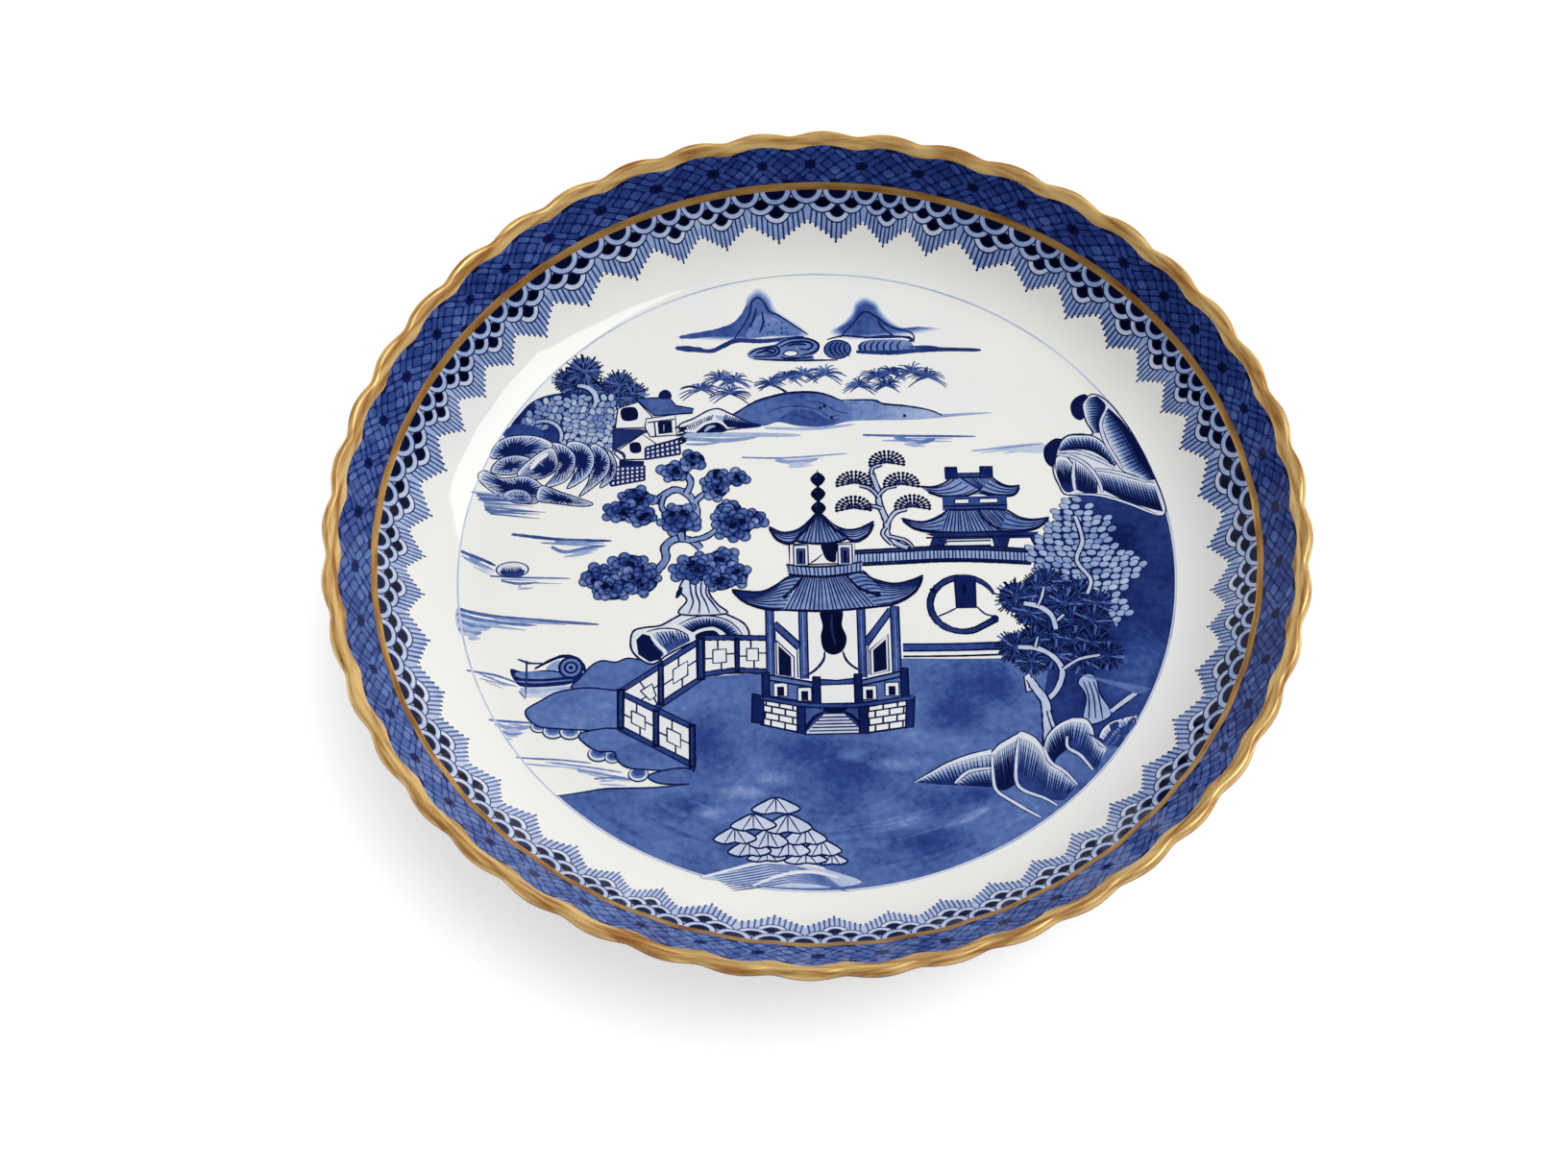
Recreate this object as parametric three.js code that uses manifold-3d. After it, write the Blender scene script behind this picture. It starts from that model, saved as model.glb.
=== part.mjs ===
// A fluted porcelain saucer: one thin dish on a turned foot ring, with painted cobalt borders and a
// gilded lip. Millimetres, +Z up. The origin is on the axis, at the level that the foot stands on.
import * as THREE from 'three';
import Module from 'manifold-3d';
import { mergeVertices } from 'three/addons/utils/BufferGeometryUtils.js';

// Dish
const RIM_DIAMETER = 140; // mean of the scalloped outline
const WELL_DEPTH = 11.9; // from the top of the lip down to the floor of the well
const WALL_SLOPE = 38; // degrees from level, upper face of the wall
const UNDER_SLOPE = 36; // degrees from level, under face, so that the wall thickens downwards
const WELL_CURVE = 14; // radius between the floor of the well and the wall
const UNDER_CURVE = 16; // radius between the wall and the base, underneath
const LIP_THICKNESS = 1.4;
const BASE_THICKNESS = 3.2;

// Foot ring, turned from the same clay as the dish
const FOOT_DIAMETER = 84; // outside, where it stands
const FOOT_WIDTH = 3.2;
const FOOT_HEIGHT = 4.5; // from the table up to the underside of the base
const FOOT_TAPER = 0.6; // how much each side of the ring spreads towards the base
const FOOT_EDGE = 0.4; // bevel beside the flat that it stands on

// Flutes of the wall: broad lobes that bulge outwards, with narrow valleys between them
const FLUTES = 44;
const FLUTE_DEPTH = 0.25; // square to the wall, at the lip
const FLUTE_LENGTH = 20; // how far down the wall the flutes run before they fade out
const SCALLOP = 0.7; // how far a lobe's edge reaches past a valley's, along the wall
const VALLEY_ROUNDING = 0.25; // 0 is a sharp valley
const FLUTE_TURN = 1.87; // degrees from +X to the first valley

// Coats on the wall, from the lip down to the well. Each width is measured along the upper face.
const COAT_THICKNESS = 0.12;
const GILT_RIM_WIDTH = 1.45; // on the upper face; outside, the gilding ends under the lip's round
const DIAPER_WIDTH = 5.0;
const GILT_LINE_WIDTH = 1.45;
const SCALE_BORDER_WIDTH = 7.7; // from the gilt line to the points of the spears
const SPEAR_LENGTH = 3.1;
const SPEARS = 47;
const SPEAR_TURN = 2.2; // degrees from +X to the first point
const WHITE_BAND = 4.9; // bare porcelain between the spears and the line round the well
const WELL_LINE_WIDTH = 0.4;

// Fineness of the facets
const FLUTE_STEPS = 4;
const LIP_STEPS = 3;
const MIN_STRIP = 0.3; // no two rings of facets lie closer than this, apart from the edges of coats
const CUT_MARGIN = 0.35; // spare coat beyond the spears, which the cut takes away
const MERGE_TOLERANCE = 1e-5; // corners nearer than this are one corner

const PORCELAIN = { color: 0xe9e9e4, roughness: 0.12, metalness: 0 };
const COBALT = { color: 0x33478a, roughness: 0.15, metalness: 0 };
const GILT = { color: 0xb5822f, roughness: 0.24, metalness: 1 };

const wasm = await Module();
wasm.setup();

// Frame of the cross-section: x is the radius, y is the height
const wallAngle = THREE.MathUtils.degToRad(WALL_SLOPE);
const underAngle = THREE.MathUtils.degToRad(UNDER_SLOPE);
const upWall = new THREE.Vector2(Math.cos(wallAngle), Math.sin(wallAngle));
const offWall = new THREE.Vector2(-upWall.y, upWall.x);
const lipRadius = LIP_THICKNESS / 2;
const floorHeight = FOOT_HEIGHT + BASE_THICKNESS;
const lipCentre = new THREE.Vector2(RIM_DIAMETER / 2 - lipRadius, floorHeight + WELL_DEPTH - lipRadius);
const lipTurn = Math.PI + wallAngle - underAngle;
const lipLength = lipRadius * lipTurn;

/** One face of the wall: a straight slope from the lip, then a curve that runs out level. */
function wallFace(angle, side, curve, level) {
  const slope = new THREE.Vector2(Math.cos(angle), Math.sin(angle));
  const off = new THREE.Vector2(-slope.y, slope.x).multiplyScalar(side);
  const start = off.clone().multiplyScalar(lipRadius).add(lipCentre);
  const tangent = curve * Math.tan(angle / 2);
  const straight = (start.y - level) / slope.y - tangent;
  const curveEnd = straight + curve * angle;
  const flatRadius = start.x - (start.y - level) / Math.tan(angle) - tangent;
  return { slope, off, start, side, curve, level, angle, straight, curveEnd, flatRadius };
}

/** Point and outward direction of a face of the wall, at a distance down it from the lip. */
function onFace(face, distance) {
  if (distance <= face.straight) {
    const point = face.start.clone().addScaledVector(face.slope, -distance);
    return { point, normal: face.off.clone() };
  }
  const turned = Math.min((distance - face.straight) / face.curve, face.angle);
  const angle = face.angle - turned;
  const level = Math.max(distance - face.curveEnd, 0);
  const point = new THREE.Vector2(
    face.flatRadius + face.curve * Math.sin(angle) - level,
    face.level + face.curve * (1 - Math.cos(angle)),
  );
  return { point, normal: new THREE.Vector2(-Math.sin(angle), Math.cos(angle)).multiplyScalar(face.side) };
}

const upperFace = wallFace(wallAngle, 1, WELL_CURVE, floorHeight);
const underFace = wallFace(underAngle, -1, UNDER_CURVE, FOOT_HEIGHT);

/** Height of the underside at a radius. */
function undersideAt(radius) {
  const run = radius - underFace.flatRadius;
  const curveRun = UNDER_CURVE * Math.sin(underAngle);
  if (run <= 0) {
    return FOOT_HEIGHT;
  }
  if (run < curveRun) {
    return FOOT_HEIGHT + UNDER_CURVE - Math.sqrt(UNDER_CURVE ** 2 - run ** 2);
  }
  return underFace.start.y - (underFace.start.x - radius) * Math.tan(underAngle);
}

/**
 * A ring of facets' corners round the dish. Its place along the section is 0 where the upper face
 * meets the lip's round, more than 0 down the upper face, and less than 0 over the lip and underneath.
 */
function ringAt(place) {
  if (place >= 0) {
    return { place, down: place, ...onFace(upperFace, place) };
  }
  if (place > -lipLength) {
    const angle = Math.PI / 2 + wallAngle + place / lipRadius;
    const normal = new THREE.Vector2(Math.cos(angle), Math.sin(angle));
    return { place, down: 0, point: normal.clone().multiplyScalar(lipRadius).add(lipCentre), normal };
  }
  const down = -lipLength - place;
  return { place, down, ...onFace(underFace, down) };
}

/** How far out a lobe stands at a turn round the axis, from -1/2 in a valley to 1/2 on a lobe. */
function lobe(turn) {
  const first = THREE.MathUtils.degToRad(FLUTE_TURN);
  const wave = Math.sin((FLUTES / 2) * (turn - first));
  const rounded = Math.hypot(wave, VALLEY_ROUNDING) - VALLEY_ROUNDING;
  return rounded / (Math.hypot(1, VALLEY_ROUNDING) - VALLEY_ROUNDING) - 0.5;
}

/** The ring's corners in space. Rings that the flutes don't reach have half as many. */
function cornersOf(ring, lift = 0) {
  const fluteShare = THREE.MathUtils.smoothstep(1 - ring.down / FLUTE_LENGTH, 0, 1);
  const scallopShare = THREE.MathUtils.smoothstep(1 - ring.down / (GILT_RIM_WIDTH + DIAPER_WIDTH), 0, 1);
  const count = (FLUTES * FLUTE_STEPS) / (fluteShare > 0 ? 1 : 2);
  const base = ring.point.clone().addScaledVector(ring.normal, lift);
  return Array.from({ length: count }, (_, index) => {
    const turn = (index / count) * 2 * Math.PI + THREE.MathUtils.degToRad(FLUTE_TURN);
    const out = lobe(turn);
    const spot = base.clone();
    spot.addScaledVector(offWall, -FLUTE_DEPTH * fluteShare * out);
    spot.addScaledVector(upWall, SCALLOP * scallopShare * out);
    return new THREE.Vector3(spot.x * Math.cos(turn), spot.x * Math.sin(turn), spot.y);
  });
}

/** Collects triangles, and gives them back as one indexed geometry. */
class Facets {
  positions = [];

  triangle(a, b, c, flipped) {
    const corners = flipped ? [a, c, b] : [a, b, c];
    corners.forEach((corner) => this.positions.push(corner.x, corner.y, corner.z));
  }

  /** A strip between two rings of corners; one of them may have half as many as the other. */
  strip(first, second, flipped = false) {
    if (first.length < second.length) {
      this.strip(second, first, !flipped);
      return;
    }
    const ratio = first.length / second.length;
    second.forEach((near, index) => {
      const next = second[(index + 1) % second.length];
      const fan = Array.from({ length: ratio + 1 }, (_, k) => first[(index * ratio + k) % first.length]);
      for (let k = 0; k < ratio; k += 1) {
        this.triangle(fan[k], near, fan[k + 1], flipped);
      }
      this.triangle(near, next, fan[ratio], flipped);
    });
  }

  /** A fan from a ring of corners to a point on the axis. */
  cap(corners, height, flipped = false) {
    const centre = new THREE.Vector3(0, 0, height);
    corners.forEach((corner, index) => {
      this.triangle(centre, corner, corners[(index + 1) % corners.length], flipped);
    });
  }

  geometry() {
    const loose = new THREE.BufferGeometry();
    loose.setAttribute('position', new THREE.Float32BufferAttribute(this.positions, 3));
    const merged = mergeVertices(loose, MERGE_TOLERANCE);
    merged.computeVertexNormals();
    return merged;
  }
}

// Places of the coats' edges along the upper face
const giltRimEdge = GILT_RIM_WIDTH;
const giltLineTop = giltRimEdge + DIAPER_WIDTH;
const giltLineFoot = giltLineTop + GILT_LINE_WIDTH;
const spearPoints = giltLineFoot + SCALE_BORDER_WIDTH;
const spearCut = spearPoints + CUT_MARGIN;
const wellLineTop = spearPoints + WHITE_BAND;
const wellLineFoot = wellLineTop + WELL_LINE_WIDTH;
const coatEdges = [giltRimEdge, giltLineTop, giltLineFoot, spearCut, wellLineTop, wellLineFoot];

/** The section's rings from the middle of the well over the lip to the foot, all but the foot's own. */
function dishRings() {
  const clear = (place) => coatEdges.every((edge) => Math.abs(edge - place) > MIN_STRIP);
  const bends = [upperFace.straight, upperFace.curveEnd].filter(clear);
  const upper = [...coatEdges, ...bends].sort((a, b) => b - a);
  const lip = Array.from({ length: LIP_STEPS + 1 }, (_, step) => (-lipLength * step) / LIP_STEPS);
  const footReach = FOOT_DIAMETER / 2 + FOOT_TAPER + MIN_STRIP;
  const curveMiddle = (underFace.straight + underFace.curveEnd) / 2;
  const under = [underFace.straight, curveMiddle, underFace.curveEnd].map((down) => -lipLength - down);
  const reached = under.map(ringAt).filter((ring) => ring.point.x > footReach);
  return [...upper.map(ringAt), ...lip.map(ringAt), ...reached];
}

const rings = dishRings();

/** A plain ring of the foot, which no flute reaches. */
function footRing(radius, height) {
  return { down: FLUTE_LENGTH, point: new THREE.Vector2(radius, height), normal: new THREE.Vector2() };
}

/** The dish and its foot ring, one body. */
function porcelainBody() {
  const outside = FOOT_DIAMETER / 2;
  const inside = outside - FOOT_WIDTH;
  const outerRoot = outside + FOOT_TAPER;
  const innerRoot = inside - FOOT_TAPER;
  const foot = [
    footRing(outerRoot, undersideAt(outerRoot)),
    footRing(outside, FOOT_EDGE),
    footRing(outside - FOOT_EDGE, 0),
    footRing(inside + FOOT_EDGE, 0),
    footRing(inside, FOOT_EDGE),
    footRing(innerRoot, undersideAt(innerRoot)),
  ];
  const loops = [...rings, ...foot].map((ring) => cornersOf(ring));
  const facets = new Facets();
  facets.cap(loops[0], floorHeight);
  loops.slice(1).forEach((loop, index) => facets.strip(loops[index], loop));
  facets.cap(loops.at(-1), undersideAt(0), true);
  return facets.geometry();
}

/** A coat of even thickness on the dish between two places of the section. */
function coat(fromPlace, toPlace) {
  const covered = rings.filter((ring) => ring.place <= fromPlace && ring.place >= toPlace);
  const lower = covered.map((ring) => cornersOf(ring));
  const upper = covered.map((ring) => cornersOf(ring, COAT_THICKNESS));
  const facets = new Facets();
  for (let index = 1; index < covered.length; index += 1) {
    facets.strip(lower[index - 1], lower[index], true);
    facets.strip(upper[index - 1], upper[index]);
  }
  facets.strip(lower[0], upper[0]);
  facets.strip(lower.at(-1), upper.at(-1), true);
  return facets.geometry();
}

/** A closed geometry as a solid that can be cut. */
function solidOf(geometry) {
  const bare = geometry.clone();
  bare.deleteAttribute('normal');
  bare.deleteAttribute('uv');
  const merged = mergeVertices(bare, MERGE_TOLERANCE);
  return new wasm.Manifold(new wasm.Mesh({
    numProp: 3,
    vertProperties: new Float32Array(merged.attributes.position.array),
    triVerts: new Uint32Array(merged.index.array),
  }));
}

/** The cut solid as a geometry again. */
function geometryOf(solid) {
  const mesh = solid.getMesh();
  const geometry = new THREE.BufferGeometry();
  geometry.setAttribute('position', new THREE.Float32BufferAttribute(mesh.vertProperties, 3));
  geometry.setIndex([...mesh.triVerts]);
  geometry.computeVertexNormals();
  return geometry;
}

/** A star-shaped prism whose points reach to the notches between the spears. */
function spearCutter() {
  const pointRadius = ringAt(spearPoints).point.x;
  const notchRadius = ringAt(spearPoints - SPEAR_LENGTH).point.x;
  const first = THREE.MathUtils.degToRad(SPEAR_TURN);
  const star = new THREE.Shape();
  for (let step = 0; step < SPEARS * 2; step += 1) {
    const radius = step % 2 === 0 ? pointRadius : notchRadius;
    const turn = first + (step / SPEARS) * Math.PI;
    const spot = [radius * Math.cos(turn), radius * Math.sin(turn)];
    if (step === 0) {
      star.moveTo(...spot);
    } else {
      star.lineTo(...spot);
    }
  }
  star.closePath();
  return new THREE.ExtrudeGeometry(star, { depth: floorHeight + WELL_DEPTH, bevelEnabled: false });
}

/** The scale border, with its lower edge cut into a row of spears. */
function scaleBorder() {
  const band = solidOf(coat(spearCut, giltLineFoot));
  return geometryOf(band.subtract(solidOf(spearCutter())));
}

function piece(name, geometry, finish) {
  const mesh = new THREE.Mesh(geometry, new THREE.MeshStandardMaterial(finish));
  mesh.name = name;
  return mesh;
}

const saucer = new THREE.Group();
saucer.add(
  piece('porcelain_body', porcelainBody(), PORCELAIN),
  piece('gilt_rim', coat(giltRimEdge, -lipLength), GILT),
  piece('diaper_border', coat(giltLineTop, giltRimEdge), COBALT),
  piece('gilt_line', coat(giltLineFoot, giltLineTop), GILT),
  piece('scale_border', scaleBorder(), COBALT),
  piece('well_line', coat(wellLineFoot, wellLineTop), COBALT),
);

export default saucer;
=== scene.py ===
"""Looks of a fluted porcelain saucer: gilded lip, cobalt borders and a lake scene painted in the well.

Drawing and sizes are in millimetres on the dish. They become metres where a mesh is made.
"""
from __future__ import annotations

import logging
import math
import random
from collections.abc import Iterable, Sequence
from dataclasses import dataclass, field, replace
from enum import Enum
from typing import Any

import bpy
from mathutils import Matrix, Vector
from mathutils.geometry import delaunay_2d_cdt


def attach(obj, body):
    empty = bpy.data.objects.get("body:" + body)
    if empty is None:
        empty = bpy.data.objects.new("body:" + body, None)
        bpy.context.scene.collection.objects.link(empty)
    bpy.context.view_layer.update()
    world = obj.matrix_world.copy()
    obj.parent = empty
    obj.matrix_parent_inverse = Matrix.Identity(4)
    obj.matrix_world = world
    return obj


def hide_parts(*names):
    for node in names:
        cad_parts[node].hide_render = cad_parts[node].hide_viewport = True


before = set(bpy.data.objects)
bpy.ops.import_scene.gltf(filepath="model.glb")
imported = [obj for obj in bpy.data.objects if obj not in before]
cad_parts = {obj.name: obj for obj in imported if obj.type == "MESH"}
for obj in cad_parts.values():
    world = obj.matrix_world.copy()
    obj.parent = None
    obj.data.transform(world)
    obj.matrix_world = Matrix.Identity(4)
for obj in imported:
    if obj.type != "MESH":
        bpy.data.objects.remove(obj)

LOG = logging.getLogger("saucer")
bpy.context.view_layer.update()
MM = 0.001
FULL_TURN = 2 * math.pi

Point = tuple[float, float]
Place = tuple[float, float, float]
Ends = tuple[float, float]
Line = Sequence[Point]
Numbers = tuple[float, ...]
Rows = tuple[Numbers, ...]
Flanks = tuple[tuple[Numbers, Numbers, float, int], ...]
Roof = tuple[tuple[int, Numbers, Numbers, bool], ...]
Colour = tuple[float, float, float, float]
Socket = bpy.types.NodeSocket
Material = bpy.types.Material
Piece = bpy.types.Object


def linear(red: int, green: int, blue: int) -> Colour:
    """Turns a screen colour into the linear colour that a shader takes.

    Args:
        red: Red, from 0 to 255.
        green: Green, from 0 to 255.
        blue: Blue, from 0 to 255.

    Returns:
        The linear colour, opaque.
    """
    screen = [value / 255 for value in (red, green, blue)]
    low, bend, power = 0.04045, 0.055, 2.4
    parts = [s / 12.92 if s <= low else ((s + bend) / (1 + bend)) ** power for s in screen]
    return (parts[0], parts[1], parts[2], 1.0)


def mix(start: float, end: float, share: float) -> float:
    """Gives the value that lies a share of the way from start to end."""
    return start + (end - start) * share


def shares(count: int) -> list[float]:
    """Gives evenly spaced shares, from 0 to 1."""
    return [step / count for step in range(count + 1)]


def between(start: Point, end: Point, share: float) -> Point:
    """Gives the point that lies a share of the way from start to end."""
    return (mix(start[0], end[0], share), mix(start[1], end[1], share))


def around(centre: Point, angle: float, radius: float, squash: float = 1.0) -> Point:
    """Gives a point round a centre, at an angle in radians, on an ellipse squashed upright."""
    return (centre[0] + radius * math.cos(angle), centre[1] + radius * squash * math.sin(angle))


# Shape of the dish


@dataclass(frozen=True)
class Station:
    """A point of the dish's section, its way down from the lip, and how dark the gilding turns there: at a
    coat's thin edges, and as painted shade over the lip's outer side.
    """

    radius: float
    height: float
    down: float
    edge: float = 0.0


@dataclass(frozen=True)
class WallFace:
    """One face of the wall: a straight slope from the lip, then a curve that runs out level."""

    slope: float
    side: int
    curve: float
    level: float
    lip_radius: float
    lip_centre: Point

    @property
    def start(self) -> Point:
        """Where the face leaves the lip's round."""
        reach, (x, y) = self.side * self.lip_radius, self.lip_centre
        return (x - reach * math.sin(self.slope), y + reach * math.cos(self.slope))

    @property
    def tangent(self) -> float:
        """Length that the curve takes off the slope and off the level."""
        return self.curve * math.tan(self.slope / 2)

    @property
    def straight(self) -> float:
        """Length of the straight slope."""
        return (self.start[1] - self.level) / math.sin(self.slope) - self.tangent

    @property
    def curve_end(self) -> float:
        """Distance from the lip to where the face is level."""
        return self.straight + self.curve * self.slope

    @property
    def flat_radius(self) -> float:
        """Radius inside which the face is level."""
        return self.start[0] - (self.start[1] - self.level) / math.tan(self.slope) - self.tangent

    def at(self, down: float, lift: float = 0.0) -> Station:
        """Finds a point of the face.

        Args:
            down: Distance from the lip, along the face.
            lift: Distance off the face.

        Returns:
            The point.
        """
        if down <= self.straight:
            angle = self.slope
            radius = self.start[0] - down * math.cos(angle)
            height = self.start[1] - down * math.sin(angle)
        else:
            angle = self.slope - min((down - self.straight) / self.curve, self.slope)
            radius = self.flat_radius + self.curve * math.sin(angle) - max(down - self.curve_end, 0.0)
            height = self.level + self.curve * (1 - math.cos(angle))
        reach = self.side * lift
        return Station(radius - reach * math.sin(angle), height + reach * math.cos(angle), down)


@dataclass(frozen=True)
class Flutes:
    """The lobes of the wall, which bulge outwards, and the narrow valleys between them."""

    count: int = 44
    depth: float = 0.25
    length: float = 20.0
    scallop: float = 0.7
    scallop_length: float = 6.45
    valley_rounding: float = 0.25
    first_valley: float = math.radians(1.87)

    def inputs(self, wall_slope: float) -> dict[str, float]:
        """Gives the values of a tree's flute inputs, in metres and radians.

        Args:
            wall_slope: Slope of the wall's upper face.

        Returns:
            A value for each name in FLUTE_INPUTS.
        """
        return {
            "Flutes": float(self.count),
            "Flute depth": self.depth * MM,
            "Flute length": self.length * MM,
            "Scallop": self.scallop * MM,
            "Scallop length": self.scallop_length * MM,
            "Valley rounding": self.valley_rounding,
            "First valley": self.first_valley,
            "Wall slope": wall_slope,
        }


FLUTE_INPUTS = tuple(Flutes().inputs(0.0))


@dataclass(frozen=True)
class DishProfile:
    """Section of the dish: well, wall, lip, underside and turned foot ring."""

    rim_radius: float = 70.0
    well_depth: float = 11.9
    wall_slope: float = math.radians(38)
    under_slope: float = math.radians(36)
    well_curve: float = 14.0
    under_curve: float = 16.0
    lip_thickness: float = 1.4
    base_thickness: float = 3.2
    foot_radius: float = 42.0
    foot_width: float = 3.2
    foot_height: float = 4.5
    foot_taper: float = 0.6
    foot_edge: float = 0.4
    foot_fillet: float = 0.7
    well_rows: int = 6
    curve_rows: int = 14
    wall_rows: int = 16
    lip_rows: int = 12
    edge_rows: int = 4

    @property
    def lip_radius(self) -> float:
        """Radius of the lip's round."""
        return self.lip_thickness / 2

    @property
    def floor(self) -> float:
        """Height of the well's floor."""
        return self.foot_height + self.base_thickness

    @property
    def lip_centre(self) -> Point:
        """Centre of the lip's round, on the section."""
        return (self.rim_radius - self.lip_radius, self.floor + self.well_depth - self.lip_radius)

    @property
    def upper(self) -> WallFace:
        """The face that the borders are painted on."""
        lip = (self.lip_radius, self.lip_centre)
        return WallFace(self.wall_slope, 1, self.well_curve, self.floor, *lip)

    @property
    def under(self) -> WallFace:
        """The face that is seen from below."""
        lip = (self.lip_radius, self.lip_centre)
        return WallFace(self.under_slope, -1, self.under_curve, self.foot_height, *lip)

    def lip(self, share: float, lift: float = 0.0) -> Station:
        """Finds a point of the lip's round.

        Args:
            share: 0 where the round meets the upper face, 1 where it meets the under face.
            lift: Distance off the round.

        Returns:
            The point.
        """
        start = math.pi / 2 + self.wall_slope
        angle = mix(start, self.under_slope - math.pi / 2, share)
        reach = self.lip_radius + lift
        centre = self.lip_centre
        return Station(centre[0] + reach * math.cos(angle), centre[1] + reach * math.sin(angle), 0.0)

    def upper_row(self, radius: float) -> float:
        """Finds how far down the upper face a radius in or near the well lies.

        Args:
            radius: The radius.

        Returns:
            The distance from the lip, along the face.
        """
        face = self.upper
        if radius <= face.flat_radius:
            return face.curve_end + face.flat_radius - radius
        angle = math.asin(min((radius - face.flat_radius) / face.curve, 1.0))
        return face.curve_end - face.curve * angle

    def foot_side(self, radius: float, outward: int) -> list[Station]:
        """Rows of one side of the foot ring, from the base down to the standing edge.

        Args:
            radius: Radius of that side where the ring stands.
            outward: 1 for the outer side, -1 for the inner side.

        Returns:
            The rows, with a fillet at the root and a round beside the standing edge.
        """
        far = 1000.0
        root = radius + outward * self.foot_taper
        rows = []
        for share in shares(self.edge_rows):
            angle = share * math.pi / 2
            radial = root + outward * self.foot_fillet * (1 - math.sin(angle))
            rows.append(Station(radial, self.foot_height - self.foot_fillet * (1 - math.cos(angle)), far))
        for share in shares(self.edge_rows):
            angle = share * math.pi / 2
            radial = radius - outward * self.foot_edge * (1 - math.cos(angle))
            rows.append(Station(radial, self.foot_edge * (1 - math.sin(angle)), far))
        return rows

    def contour(self) -> list[Station]:
        """Rows of the whole dish, from the middle of the well round to the middle of the base.

        Returns:
            The rows.
        """
        upper, under = self.upper, self.under
        well, curved, straight = shares(self.well_rows), shares(self.curve_rows), shares(self.wall_rows)
        rows = [upper.at(self.upper_row(upper.flat_radius * share)) for share in well[:-1]]
        rows += [upper.at(mix(upper.curve_end, upper.straight, share)) for share in curved[:-1]]
        rows += [upper.at(mix(upper.straight, 0.0, share)) for share in straight[:-1]]
        rows += [self.lip(share) for share in shares(self.lip_rows)[:-1]]
        rows += [under.at(mix(0.0, under.straight, share)) for share in straight[:-1]]
        rows += [under.at(mix(under.straight, under.curve_end, share)) for share in curved]
        rows += self.foot_side(self.foot_radius, 1)
        inner = self.foot_side(self.foot_radius - self.foot_width, -1)
        rows += reversed(inner)
        rest = inner[0]
        rows += [replace(rest, radius=rest.radius * (1 - share)) for share in shares(self.edge_rows)[1:]]
        return rows


@dataclass(frozen=True)
class Bands:
    """Where each coat begins and ends, measured down the upper face from the lip."""

    gilt_rim_end: float = 1.45
    gilt_line_start: float = 6.45
    gilt_line_end: float = 7.90
    spear_notch: float = 12.5
    spear_tip: float = 15.6
    well_line_start: float = 20.5
    well_line_end: float = 20.9
    coat: float = 0.03
    gilding: float = 0.05


PROFILE = DishProfile()
FLUTES = Flutes()
BANDS = Bands()


# Node trees


class NodeBench:
    """Adds nodes to a tree and links them, so that a formula reads as one."""

    def __init__(self, tree: bpy.types.NodeTree) -> None:
        """Takes the tree to work on, and empties it."""
        self.tree = tree
        tree.nodes.clear()

    def feed(self, socket: Socket, value: Any) -> None:
        """Links a socket to another node's output, or sets the socket's own value.

        Args:
            socket: The input.
            value: An output socket or a plain value.
        """
        if isinstance(value, Socket):
            self.tree.links.new(value, socket)
        else:
            socket.default_value = value

    def add(self, kind: str, values: dict[Any, Any] | None = None, **settings: Any) -> bpy.types.Node:
        """Adds a node.

        Args:
            kind: Type of the node.
            values: Output sockets or plain values, by the input's name or number.
            **settings: Properties of the node.

        Returns:
            The node.
        """
        node = self.tree.nodes.new(kind)
        for name, setting in settings.items():
            setattr(node, name, setting)
        for key, value in (values or {}).items():
            self.feed(node.inputs[key], value)
        return node

    def math(self, operation: str, *values: Any) -> Socket:
        """Adds one step of arithmetic and gives its result."""
        return self.add("ShaderNodeMath", dict(enumerate(values)), operation=operation).outputs[0]

    def fade(self, value: Any, start: Any, end: Any, first: Any = 1.0, last: Any = 0.0) -> Socket:
        """Eases from first to last while a value goes from start to end."""
        values = {"Value": value, "From Min": start, "From Max": end, "To Min": first, "To Max": last}
        return self.add("ShaderNodeMapRange", values, interpolation_type="SMOOTHSTEP").outputs[0]

    def split(self, vector: Any) -> tuple[Socket, ...]:
        """Takes a vector apart."""
        return tuple(self.add("ShaderNodeSeparateXYZ", {0: vector}).outputs)

    def join(self, x: Any, y: Any, z: Any) -> Socket:
        """Puts a vector together."""
        return self.add("ShaderNodeCombineXYZ", {0: x, 1: y, 2: z}).outputs[0]


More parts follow.
